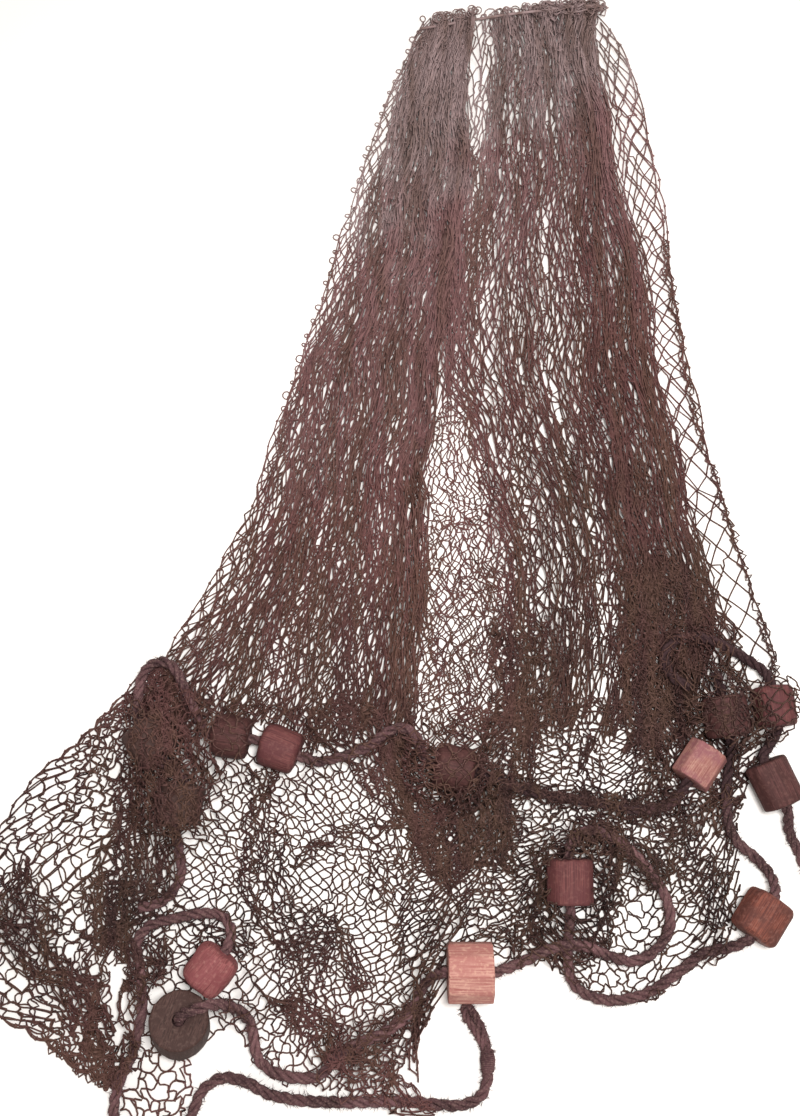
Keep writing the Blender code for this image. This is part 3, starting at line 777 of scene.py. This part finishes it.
def stripPlan(spec):
    # a crumpled strip of net along a line of (x, y, half width)
    line = np.array(spec["line"], float)
    run = runAlong(line[:, :2])
    places = np.linspace(0, run[-1], max(6, round(run[-1] / spec["pitch"])) + 1)
    line = sampled(line, run, places)
    ahead = unit(np.gradient(line[:, :2], axis=0), 0)
    beside = np.stack([-ahead[:, 1], ahead[:, 0]], axis=1)
    share = np.linspace(-1, 1, spec["columns"] + 1)
    share = share * (1.15 - 0.15 * share ** 2)
    return line[:, None, :2] + beside[:, None] * (line[:, 2:] * share)[..., None]


def threads(points, radius, rng):
    # every row of points becomes one closed three-sided thread
    count, long = points.shape[:2]
    tangents = unit(np.gradient(points, axis=1))
    side = unit(np.cross(tangents, (0.02, 0.03, 1.0)))
    up = np.cross(side, tangents)
    turn = rng.uniform(0, 2.09, count)[:, None, None]    # a third of a turn is all that shows
    rings = [points + (side * np.cos(turn + a) + up * np.sin(turn + a)) * radius
             for a in thirdTurns]
    faces = [(2, 1, 0), (long * 3 - 3, long * 3 - 2, long * 3 - 1)]
    for step in range(0, long * 3 - 3, 3):
        for a, b in ((0, 1), (1, 2), (2, 0)):
            faces += [(step + a, step + b, step + 3 + b), (step + a, step + 3 + b, step + 3 + a)]
    base = np.arange(count)[:, None, None] * long * 3
    return (toScene(np.stack(rings, axis=2).reshape(-1, 3)),
            [(base + np.array(faces)[None]).reshape(-1, 3)])


def knotLumps(points, radius, rng):
    # a small eight-sided lump where four bars meet
    size = radius * rng.uniform(0.75, 1.15, (len(points), 1))
    turn = rng.uniform(0, math.pi, len(points))
    ahead = np.stack([np.cos(turn), np.sin(turn), 0 * turn], axis=1) * size * 1.25
    beside = np.stack([-np.sin(turn), np.cos(turn), 0 * turn], axis=1) * size
    up = np.array((0, 0, 0.9)) * size
    corners = [points + ahead, points + beside, points - ahead, points - beside, points + up,
               points - up]
    faces = np.array(((0, 1, 4), (1, 2, 4), (2, 3, 4), (3, 0, 4),
                      (1, 0, 5), (2, 1, 5), (3, 2, 5), (0, 3, 5)))
    base = np.arange(len(points))[:, None, None] * 6
    return toScene(np.stack(corners, axis=1).reshape(-1, 3)), [(base + faces[None]).reshape(-1, 3)]


def tiedBars(plan, spec, rng):
    # plan holds every crossing, rows down and columns across; every second crossing is a knot
    rows, columns = plan.shape[0] - 1, plan.shape[1] - 1
    r, c = np.mgrid[0:rows + 1, 0:columns + 1]
    plan = drifted(rng, plan, *spec["drift"]) + rng.normal(0, spec["loose"], plan.shape)
    rise = heightAt(spec["over"], plan[..., 0], plan[..., 1]) * spec["share"] + spec["lift"]
    rise = np.maximum(rise + rng.uniform(0, spec["loft"], rise.shape), leastRise)
    points = np.concatenate([plan, rise[..., None]], axis=2)
    knots, bars = r * (columns + 1) + c, []
    for side in (-1, 1):
        pick = ((r + c) % 2 == spec["odd"]) & (r < rows) & (c + side >= 0) & (c + side <= columns)
        bars.append(np.stack([knots[pick], knots[pick] + columns + 1 + side], axis=1))
    bars = np.concatenate(bars)
    start, end = points.reshape(-1, 3)[bars[:, 0]], points.reshape(-1, 3)[bars[:, 1]]
    middle = (start + end) / 2
    keep = np.linalg.norm((end - start)[:, :2], axis=1) < barLength * longestBar
    keep &= spec["free"] | (heightAt(footprint, middle[:, 0], middle[:, 1]) > 0.5)
    for x, y, reach in spec["clear"]:
        keep &= np.hypot(middle[:, 0] - x, middle[:, 1] - y) > reach
    # a bar that no other bar meets at one end would stand out as a stub, so it goes too
    for _ in range(4):
        met = np.bincount(bars[keep].ravel(), minlength=knots.size)
        keep &= met[bars].min(axis=1) > 1
    tied = (np.bincount(bars[keep].ravel(), minlength=knots.size) > 1).reshape(knots.shape)
    return start[keep], end[keep], points, tied


def sideTwine(points, tied, spec, rng):
    # the twine along a side edge, from knot to knot and bowed a little outward between them
    last, first, second, outward = points.shape[1] - 1, [], [], []
    for edge, column, inner in (("left", 0, 1), ("right", last, last - 1)):
        if edge in spec["selvage"]:
            rows = np.arange((spec["odd"] + column) % 2, len(points), 2)
            both = tied[rows[:-1], column] & tied[rows[1:], column]
            first.append(points[rows[:-1], column][both])
            second.append(points[rows[1:], column][both])
            outward.append((points[rows[:-1], column] - points[rows[:-1], inner])[both])
    first, second, outward = (np.concatenate(part) for part in (first, second, outward))
    run = second - first
    side = np.stack([-run[:, 1], run[:, 0], 0 * run[:, 0]], axis=1)
    side *= np.where((side * outward).sum(axis=1) < 0, -1, 1)[:, None]
    side = unit(side) * rng.uniform(*spec["bow"], len(side))[:, None]
    return np.stack([first + run * t + side * math.sin(math.pi * t)
                     for t in np.linspace(0, 1, 6)], axis=1)


def freeLoops(points, tied, spec, rng):
    # meshes at an edge, slack enough to stand off as small loops
    knots, outward = [], []
    rows, columns = np.indices(tied.shape)
    tied = tied & ((rows + columns) % 2 == spec["odd"])
    for edge, outer, inner in (("head", np.s_[0], np.s_[2]), ("foot", np.s_[-1], np.s_[-3]),
                               ("left", np.s_[:, 0], np.s_[:, 2])):
        if edge in spec["loops"]:
            knots.append(points[outer][tied[outer]])
            outward.append((points[outer] - points[inner])[tied[outer]])
    knots, out = np.concatenate(knots), unit(np.concatenate(outward)[:, :2])
    turn = rng.normal(0, 0.5, len(out))
    out = np.stack([out[:, 0] * np.cos(turn) - out[:, 1] * np.sin(turn),
                    out[:, 0] * np.sin(turn) + out[:, 1] * np.cos(turn)], axis=1)
    size = rng.uniform(*spec["loopSize"], len(knots))[:, None]
    wide = size * rng.uniform(0.5, 1.0, (len(knots), 1))
    loops = []
    for t in np.linspace(0, 2 * math.pi, 10):
        spot = knots.copy()
        spot[:, :2] += out * size * (0.5 - 0.5 * math.cos(t)) - 0.6 * out
        spot[:, :2] += out[:, ::-1] * (-1, 1) * wide * 0.55 * math.sin(t)
        spot[:, 2] += 1.5 * math.sin(t / 2)
        loops.append(spot)
    return np.stack(loops, axis=1)


def slackBars(start, end, spec, rng):
    # a bar is slack where its knots lie nearer than its length, and bows or curls aside
    run = end - start
    flat = np.linalg.norm(run[:, :2], axis=1)
    side = np.stack([-run[:, 1], run[:, 0]], axis=1) / (flat[:, None] + 1e-9)
    spare = np.sqrt(np.clip(barLength ** 2 - flat ** 2, 0, None)) * spec["slack"]
    amount = np.clip(spare, bowing["least"], bowing["most"]) * rng.uniform(0.3, 1, len(start))
    amount *= np.where(rng.random(len(start)) < 0.5, -1, 1)
    curl = rng.normal(0, bowing["curl"], len(start))
    way = [start]
    for share in np.arange(1, spec["bends"] + 1) / (spec["bends"] + 1):
        point = start + run * share
        bow = np.sin(math.pi * share) + curl * np.sin(2 * math.pi * share)
        point[:, :2] += side * (amount * bow)[:, None]
        low = heightAt(spec["over"], point[:, 0], point[:, 1]) * spec["share"] + spec["lift"]
        point[:, 2] = np.maximum(point[:, 2], np.maximum(low, leastRise))
        way.append(point)
    return np.stack(way + [end], axis=1)


def makeNet(name, layers):
    parts, total, longest, twineArea = [], 0, 0, 0
    for spec in layers:
        rng = np.random.default_rng(spec["seed"])
        plan = spec["planner"](spec)
        start, end, points, tied = tiedBars(plan, spec, rng)
        parts.append(threads(slackBars(start, end, spec, rng), spec["thread"] / 2, rng))
        if spec["knot"]:
            places = np.unique(np.round(np.concatenate([start, end]), 3), axis=0)
            parts.append(knotLumps(places, spec["knot"] / 2, rng))
        if spec["selvage"]:
            side = sideTwine(points, tied, spec, rng)
            parts.append(threads(side, spec["thread"] / 2, rng))
            parts.append(knotLumps(side[:, (0, 3)].reshape(-1, 3), sideKnot, rng))
            twineArea += len(side) * barLength * sideBar * spec["thread"]
        if spec["loops"]:
            loops = freeLoops(points, tied, spec, rng)
            parts.append(threads(loops, spec["thread"] / 2, rng))
            twineArea += len(loops) * sum(spec["loopSize"]) * spec["thread"]
        total += len(start)
        twineArea += len(start) * barLength * spec["thread"] * knotShare
        longest = max(longest, plan.shape[0] * barLength * rowShare)
    obj = makeMesh(name, parts, twine)
    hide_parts("netting")


layerSettings = {
    "folds": (), "streaks": 0.2,                      # where more net lies, and how unevenly
    "slide": 1.0, "ragged": 0.0, "raggedHead": 0.0,   # in rows, and in cuts of the net
    "drift": (50, 160, 4.0), "loose": 1.0,            # how the knots wander and stray
    "over": netMap, "share": 0.95,                    # the height map it lies on a share of,
    "lift": 0.3, "loft": 1.2,                         # and how far over that, up to lift + loft
    "bends": 1, "slack": 0.2,                         # points in a bar, and how far it bows
    "thread": 1.45, "knot": 0, "odd": 0,              # odd is 1 where the other crossings are tied
    "clear": (), "free": False,                       # free may leave the CAD net's footprint
    "loops": (), "loopSize": (4, 7),                  # edges with loops standing off
    "selvage": (), "bow": (0.6, 1.6)}                 # edges with twine down the side
heapSettings = {"pitch": 7.0, "drift": (26, 90, 7.0), "loose": 2.0, "share": 1.0, "lift": 0.5,
                "loft": 3.0, "slack": 0.35, "thread": 1.5}


def netLayer(columns, rows, window, seed, **changes):
    return {**layerSettings, "planner": windowPlan, "columns": columns, "rows": rows,
            "window": window, "seed": seed, **changes}


def evenLayer(columns, rows, edges, seed, **changes):
    return {**layerSettings, "planner": edgesPlan, "columns": columns, "rows": rows,
            "edges": edges, "seed": seed, "streaks": 0.08, "drift": (40, 120, 3.0), "share": 0.5,
            **changes}


def heapLayer(line, columns, seed, **changes):
    return {**layerSettings, **heapSettings, "planner": stripPlan, "line": line,
            "columns": columns, "seed": seed, **changes}


# Folds are (share across at the head, at the foot, width, how much more net lies there).
leftFolds = (
    (0.0, -0.14, 0.10, -0.55), (0.0, 0.0, 0.035, -0.6), (0.46, 0.46, 0.12, 0.6),
    (0.90, 0.93, 0.08, 1.3))
leftLowFolds = (
    (0.0, 0.0, 0.05, -0.8), (0.3, 0.22, 0.1, 0.8), (0.7, 0.65, 0.1, 1.2), (0.92, 0.86, 0.1, 1.2))
rightFolds = (
    (0.14, 0.10, 0.09, 0.5), (0.46, 0.34, 0.09, 0.9), (0.80, 0.66, 0.12, 1.4),
    (0.97, 0.93, 0.09, 1.7))
backFolds = (
    (0.15, 0.12, 0.07, 0.6), (0.36, 0.38, 0.03, 1.2), (0.6, 0.5, 0.1, 0.7), (0.8, 0.72, 0.1, 0.9),
    (1.0, 1.0, 0.06, -0.75))
leftWindow = (
    (0, 0, 0.29), (0.8, 0, 0.285), (1.6, 0, 0.30), (2.35, 0, 0.335), (2.9, 0, 0.355),
    (4.0, 0, 0.35), (4.6, 0, 0.36), (5.6, 0, 0.395), (6.5, 0.0, 0.415), (7.4, 0.02, 0.43))
rightWindow = (
    (0, 0.37, 0.97), (0.6, 0.39, 0.88), (1.4, 0.40, 0.84), (1.9, 0.395, 0.85), (2.4, 0.37, 0.88),
    (2.9, 0.335, 0.925), (3.3, 0.33, 0.93), (3.8, 0.355, 0.93), (4.2, 0.43, 0.935),
    (4.7, 0.50, 0.935), (5.3, 0.545, 0.93), (6.5, 0.55, 0.87), (7.5, 0.56, 0.80))
leftLowWindow = ((3.9, 0, 0.35), (5.6, 0, 0.395), (6.5, 0, 0.415), (7.3, 0.02, 0.43))
rightLowWindow = ((3.2, 0.50, 0.90), (5.0, 0.54, 0.92), (6.5, 0.55, 0.86), (7.3, 0.56, 0.80))
openLowWindow = ((4.9, 0.37, 0.60), (6.0, 0.40, 0.60), (7.2, 0.41, 0.60))
seamWindow = (
    (1.3, 0.36, 0.46), (2.0, 0.30, 0.46), (2.7, 0.30, 0.45), (3.3, 0.32, 0.44), (4.0, 0.34, 0.44))
edgeWindow = (
    (0.4, 0.93, 1.0), (1.5, 0.89, 1.0), (3.4, 0.92, 1.0), (5.2, 0.92, 1.0), (6.7, 0.90, 1.0))
lowWindow = ((6.6, 0.47, 1.0), (9, 0.48, 1.0), (11, 0.50, 1.0))

# Pairs of edges, outer and inner, that single flat pieces of the net lie between.
openEdges = (
    ((34, 156), (31, 140), (27, 86), (23, 0), (22, -60), (18, -140), (22, -166)),
    ((75, 156), (80, 140), (92, 100), (100, 40), (108, -20), (110, -60), (98, -140), (92, -166)))
wingEdges = (
    ((-222, -100), (-258, -139), (-326, -204), (-362, -254), (-376, -330), (-345, -400),
     (-315, -420), (-280, -438), (-252, -458)),
    ((-198, -104), (-202, -170), (-216, -230), (-234, -290), (-246, -350), (-244, -400),
     (-238, -452)))
lowEdges = (
    ((-214, -128), (-210, -230), (-216, -300), (-222, -350), (-226, -430)),
    ((66, -160), (58, -260), (60, -330), (34, -372), (18, -412), (2, -444), (-10, -476)))
fringeEdges = (
    ((22, 587), (20, 568), (11, 543), (2, 522), (-14, 478), (-35, 414), (-58, 324), (-78, 253),
     (-91, 214), (-107, 159), (-119, 108)),
    ((41, 587), (39, 568), (29, 543), (20, 522), (3, 478), (-20, 414), (-45, 324), (-65, 253),
     (-78, 214), (-96, 159), (-110, 108)))
patchEdges = (
    ((-242, -428), (-246, -458), (-222, -500)),
    ((-180, -424), (-176, -460), (-192, -494)))

# Places that a layer leaves out, as (x, y, reach): where a float or the rope lies on top of it,
# and the opening, where the net is thin.
clearOfCords = (
    (62, -362, 32), (-160, -362, 28), (-183, -405, 40), (309, -320, 31), (264, -192, 30),
    (329, -208, 34), (222, -340, 34), (200, -352, 34), (232, -318, 26), (-214, -495, 46),
    (-106, -178, 24), (-240, -108, 26), (146, -291, 22), (-120, -438, 26), (-90, -452, 20),
    (290, -250, 22), (300, -270, 22), (-20, -474, 18), (20, -474, 18), (50, -470, 24),
    (-232, -346, 18), (-200, -326, 16), (-170, -322, 16), (170, -388, 18), (240, -368, 18))
clearOfOpening = ((60, 130, 22), (62, 100, 32), (62, 60, 36), (62, 20, 38))
clearOfHeaps = (
    (264, -192, 29), (329, -208, 34), (344, -132, 20), (-160, -362, 30), (59, -364, 42),
    (-106, -178, 21), (146, -294, 17), (-240, -112, 20), (-183, -405, 38), (50, -196, 18))

closeMesh = {"bends": 3, "slack": 0.32, "loose": 0.7, "knot": 2.4, "thread": 1.65,
             "slide": 0.3}
roundMesh = {"bends": 3, "slack": 0.55, "loose": 0.8, "knot": 2.6}
openMesh = {"bends": 3, "slack": 0.26, "loose": 1.3, "knot": 2.6}
fringeMesh = {"bends": 2, "slack": 0.3, "loose": 0.8, "knot": 2.6, "thread": 1.4,
              "drift": (40, 120, 1.5), "loops": ("left",), "loopSize": (4, 8),
              "selvage": ("left",), "free": True}
hidden = {"bends": 0, "thread": 1.6}
nets = {
    "net_back": (
        netLayer(74, 54, ((0, 0, 1), (6.9, 0, 1)), 3, folds=backFolds, drift=(60, 190, 4.0),
                 share=0.35, loft=0.8, bends=2, slack=0.35, knot=2.3, slide=0.3,
                 clear=clearOfOpening, loops=("head",), loopSize=(5, 12),
                 selvage=("left", "right"), bow=(1.0, 3.2)),
        netLayer(4, 50, edgeWindow, 4, drift=(60, 190, 3.0), share=0.5, bends=2, thread=1.7,
                 slack=0.4, slide=0.2, selvage=("right",)),
        netLayer(32, 22, seamWindow, 8, share=0.5, ragged=0.9, raggedHead=0.9)),
    "net_opening": (
        evenLayer(13, 35, openEdges, 5, thread=1.35, drift=(40, 120, 3.4), **openMesh),
        evenLayer(13, 35, openEdges, 5, thread=1.35, odd=1, **openMesh),
        netLayer(19, 24, openLowWindow, 6, drift=(30, 90, 9.0), share=0.6, **roundMesh)),
    "net_fan_left_under": (netLayer(86, 53, leftWindow, 11, folds=leftFolds, share=0.4,
                                    ragged=0.4, **hidden),),
    "net_fan_left_middle": (
        netLayer(74, 52, leftWindow, 15, folds=leftLowFolds, share=0.65, ragged=0.4, **hidden),
        netLayer(44, 24, leftLowWindow, 18, folds=leftLowFolds, share=0.75, ragged=0.4,
                 raggedHead=1.8, **hidden)),
    "net_fan_left_over": (netLayer(82, 54, leftWindow, 12, folds=leftFolds, ragged=0.4,
                                   knot=2.2, loops=("head",), loopSize=(5, 12),
                                   selvage=("left",), bow=(1.0, 3.0)),
                          evenLayer(3, 37, fringeEdges, 54, **fringeMesh),
                          evenLayer(3, 37, fringeEdges, 55, odd=1, **fringeMesh)),
    "net_fan_right_under": (
        netLayer(102, 52, rightWindow, 13, folds=rightFolds, share=0.55, ragged=0.7, **hidden),
        netLayer(28, 28, rightLowWindow, 17, folds=rightFolds, share=0.7, ragged=0.7,
                 raggedHead=1.8, **hidden)),
    "net_fan_right_over": (netLayer(102, 53, rightWindow, 14, folds=rightFolds, ragged=0.7,
                                    knot=2.2, loops=("head",), loopSize=(5, 10)),),
    "net_wing": (
        evenLayer(17, 46, wingEdges, 9, loops=("foot",), loopSize=(3, 8), thread=1.8,
                  selvage=("left",), bow=(2.0, 4.0), **roundMesh),
        evenLayer(17, 46, wingEdges, 9, lift=1.5, drift=(40, 120, 4.2), thread=1.6,
                  selvage=("left",), bow=(1.0, 3.6), **roundMesh)),
    "net_low_left": (
        evenLayer(34, 39, lowEdges, 19, drift=(50, 140, 2.9), **closeMesh),
        evenLayer(34, 39, lowEdges, 19, drift=(50, 140, 2.9), odd=1, over=coveredMap, share=1.0,
                  lift=0.9, clear=clearOfCords, **closeMesh),
        evenLayer(9, 9, patchEdges, 20, thread=1.9, loops=("foot",), loopSize=(6, 10),
                  **roundMesh)),
    "net_low_right": (
        netLayer(38, 44, lowWindow, 7, drift=(40, 140, 3.4), share=0.4, loft=0.8, **closeMesh),
        netLayer(38, 44, lowWindow, 7, drift=(40, 140, 3.6), odd=1, over=coveredMap, share=1.0,
                 lift=0.9, clear=clearOfCords, **closeMesh)),
}

# Heaps where the net lies crumpled many layers deep, each along its own line.
leftHeap = (
    (-222, -124, 17), (-213, -161, 25), (-211, -205, 34), (-221, -246, 33), (-240, -288, 27),
    (-246, -330, 24), (-246, -357, 16))
leftBundle = (
    (-236, -338, 14), (-225, -362, 11), (-221, -386, 10), (-222, -409, 9), (-228, -434, 8),
    (-236, -456, 6))
discCover = ((-216, -336, 12), (-206, -360, 14), (-208, -384, 9))
leftHeapTop = ((-196, -124, 20), (-190, -169, 31), (-197, -214, 32), (-197, -240, 21))
wingHeap = (
    (-342, -288, 14), (-336, -304, 19), (-322, -329, 23), (-306, -352, 18), (-280, -376, 12),
    (-254, -402, 8), (-244, -426, 7))
middleRidge = (
    (-127, -192, 12), (-124, -236, 14), (-121, -274, 16), (-112, -308, 18), (-91, -333, 20),
    (-61, -349, 18), (-38, -366, 14), (-28, -382, 9))
acrossFold = ((-94, -282, 7), (-71, -261, 9), (-44, -249, 9), (0, -242, 10), (36, -240, 9))
lowTangle = ((-98, -335, 13), (-85, -362, 18), (-74, -388, 18), (-58, -410, 13))
hookFold = ((-22, -312, 7), (-18, -296, 9), (-11, -281, 9), (9, -268, 9), (40, -265, 8))
lowFold = ((-245, -312, 10), (-209, -333, 14), (-165, -333, 14), (-130, -341, 12))
middleBunch = ((-5, -174, 18), (27, -200, 30), (53, -227, 46), (62, -257, 44), (69, -282, 30))
middleSweep = ((-70, -130, 24), (-40, -165, 24), (0, -205, 28), (44, -245, 30))
besideOpening = ((111, -60, 24), (117, -115, 29), (102, -169, 30), (81, -218, 30), (84, -246, 28))
bunchTail = ((0, -246, 18), (40, -268, 26), (80, -282, 28), (120, -290, 26), (150, -272, 24))
footBunch = (
    (-106, -384, 8), (-84, -402, 12), (-58, -425, 16), (-29, -446, 19), (0, -461, 19),
    (34, -477, 15))
seamFold = ((60, 262, 14), (62, 228, 19), (64, 190, 21), (66, 158, 19))
ropeCover = ((80, -204, 10), (124, -216, 8), (170, -224, 8), (212, -231, 9), (248, -222, 11))
footFold = ((34, -354, 6), (62, -342, 8), (91, -338, 8), (124, -333, 7))
bayCover = (
    (30, -370, 9), (18, -381, 11), (8, -398, 12), (-10, -411, 13), (-36, -422, 13), (-58, -438, 12))
eighthHeap = ((190, -258, 20), (166, -276, 38), (152, -302, 38), (143, -333, 30), (147, -361, 16))
loopTop = ((148, -254, 9), (170, -248, 12), (192, -256, 13), (211, -275, 13), (226, -294, 11))
rightFill = ((224, -250, 30), (246, -280, 34), (268, -306, 26), (284, -322, 12))
rightHeap = (
    (232, -10, 26), (246, -50, 44), (257, -97, 53), (264, -133, 55), (271, -169, 51),
    (274, -200, 36))
rightRidge = ((206, 232, 10), (210, 157, 14), (220, 76, 18), (228, -3, 18), (234, -60, 18))
rightInner = ((221, -78, 22), (237, -124, 31), (242, -169, 33), (259, -214, 38), (262, -255, 34))
edgeCord = (
    (266, 330, 2), (273, 240, 2.5), (286, 140, 3), (310, 36, 3), (326, -20, 3.5), (338, -76, 4),
    (344, -120, 4))
onTop = {"over": coveredMap, "bends": 2, "knot": 2.3, "clear": clearOfHeaps}
cover = {**onTop, "pitch": 6.0, "drift": (26, 90, 3.0)}
ridge = {**hidden, "share": 0.8, "pitch": 12.0, "drift": (60, 160, 4.0)}
nets.update({
    "net_heap_left": (
        heapLayer(leftHeap, 26, 21, lift=0.6, **onTop), heapLayer(leftHeap, 22, 26, **hidden),
        heapLayer(leftHeapTop, 24, 22, lift=1.0, **onTop), heapLayer(wingHeap, 17, 23),
        heapLayer(wingHeap, 8, 27, **hidden), heapLayer(leftBundle, 12, 28, **onTop),
        heapLayer(discCover, 14, 29, **onTop)),
    "net_heap_middle": (
        heapLayer(middleBunch, 34, 31, **onTop), heapLayer(middleBunch, 24, 36, **hidden),
        heapLayer(middleSweep, 27, 32), heapLayer(besideOpening, 30, 33),
        heapLayer(middleRidge, 13, 24), heapLayer(lowFold, 10, 25),
        heapLayer(lowTangle, 9, 58),
        heapLayer(acrossFold, 6, 51), heapLayer(hookFold, 6, 52),
        heapLayer(seamFold, 13, 57, **ridge),
        heapLayer(ropeCover, 9, 39, **cover)),
    "net_heap_foot": (
        heapLayer(footBunch, 14, 34, lift=0.9, **onTop),
        heapLayer(bunchTail, 6, 38), heapLayer(footFold, 7, 56), heapLayer(eighthHeap, 19, 43),
        heapLayer(eighthHeap, 10, 45, **hidden), heapLayer(rightFill, 11, 50),
        heapLayer(loopTop, 12, 47, **cover),
        heapLayer(bayCover, 9, 48, **cover)),
    "net_heap_right": (
        heapLayer(rightHeap, 36, 41, lift=0.6, **onTop), heapLayer(rightHeap, 30, 46, **hidden),
        heapLayer(rightInner, 28, 42), heapLayer(edgeCord, 4, 49, drift=(40, 90, 1.0)),
        heapLayer(rightRidge, 14, 53, **ridge)),
})
for name, layers in nets.items():
    makeNet(name, layers)


# The line that gathers the net's head, and the tangle at its right end.
gatherLine = {"points": ((21, 569, 9), (47, 572, 11), (74, 579, 9), (116, 584, 12),
                         (153, 589, 12), (190, 594, 12), (214, 596, 9)), "thick": 2.8}
headTangle = ((140, 588, 5), (160, 592, 8), (182, 594, 9), (204, 594, 8), (217, 592, 4))
gathered = sweep(splineThrough(gatherLine["points"], 4), gatherLine["thick"] / 2, 6)
makeMesh("net_gather_line", [gathered], twine)
makeNet("net_head_tangle", (heapLayer(headTangle, 14, 61, pitch=5, loft=9.0, loose=3.0,
                                      drift=(20, 60, 4.0)),))
print("netting made")


# Plain pale floor, a lamp beside the lens and soft light round it.
floorPaint, tree = newMaterial("pale_floor_paint", 0.9)
tree.nodes["Principled BSDF"].inputs["Base Color"].default_value = linear("#f6f2ee")
bpy.ops.mesh.primitive_plane_add(size=6, location=(0, 0, -0.0005))
floor = bpy.context.object
floor.name = "floor"
floor.data.materials.append(floorPaint)

world = bpy.data.worlds.new("soft_room")
world.use_nodes = True
world.node_tree.nodes["Background"].inputs["Color"].default_value = linear("#fffaf6")
world.node_tree.nodes["Background"].inputs["Strength"].default_value = 0.55
bpy.context.scene.world = world
lamps = {
    "lamp_by_lens": {"place": (0.12, -0.22, 1.15), "size": 0.22, "power": 15},
    "window_light": {"place": (1.0, 0.9, 1.4), "size": 1.0, "power": 10},
}
for name, lamp in lamps.items():
    bpy.ops.object.light_add(type="AREA", location=lamp["place"])
    light = bpy.context.object
    light.name = name
    light.data.size = lamp["size"]
    light.data.energy = lamp["power"]
    light.rotation_euler = (-Vector(lamp["place"])).to_track_quat("-Z", "Y").to_euler()

view = {"place": (0, -229.9, 996), "tilt": 13, "lens": 35.03}
bpy.ops.object.camera_add(location=toFrame(view["place"]),
                          rotation=(math.radians(view["tilt"]), 0, 0))
camera = bpy.context.object
camera.data.lens = view["lens"]
bpy.context.scene.camera = camera
bpy.context.scene.view_settings.view_transform = "Standard"

print("done")
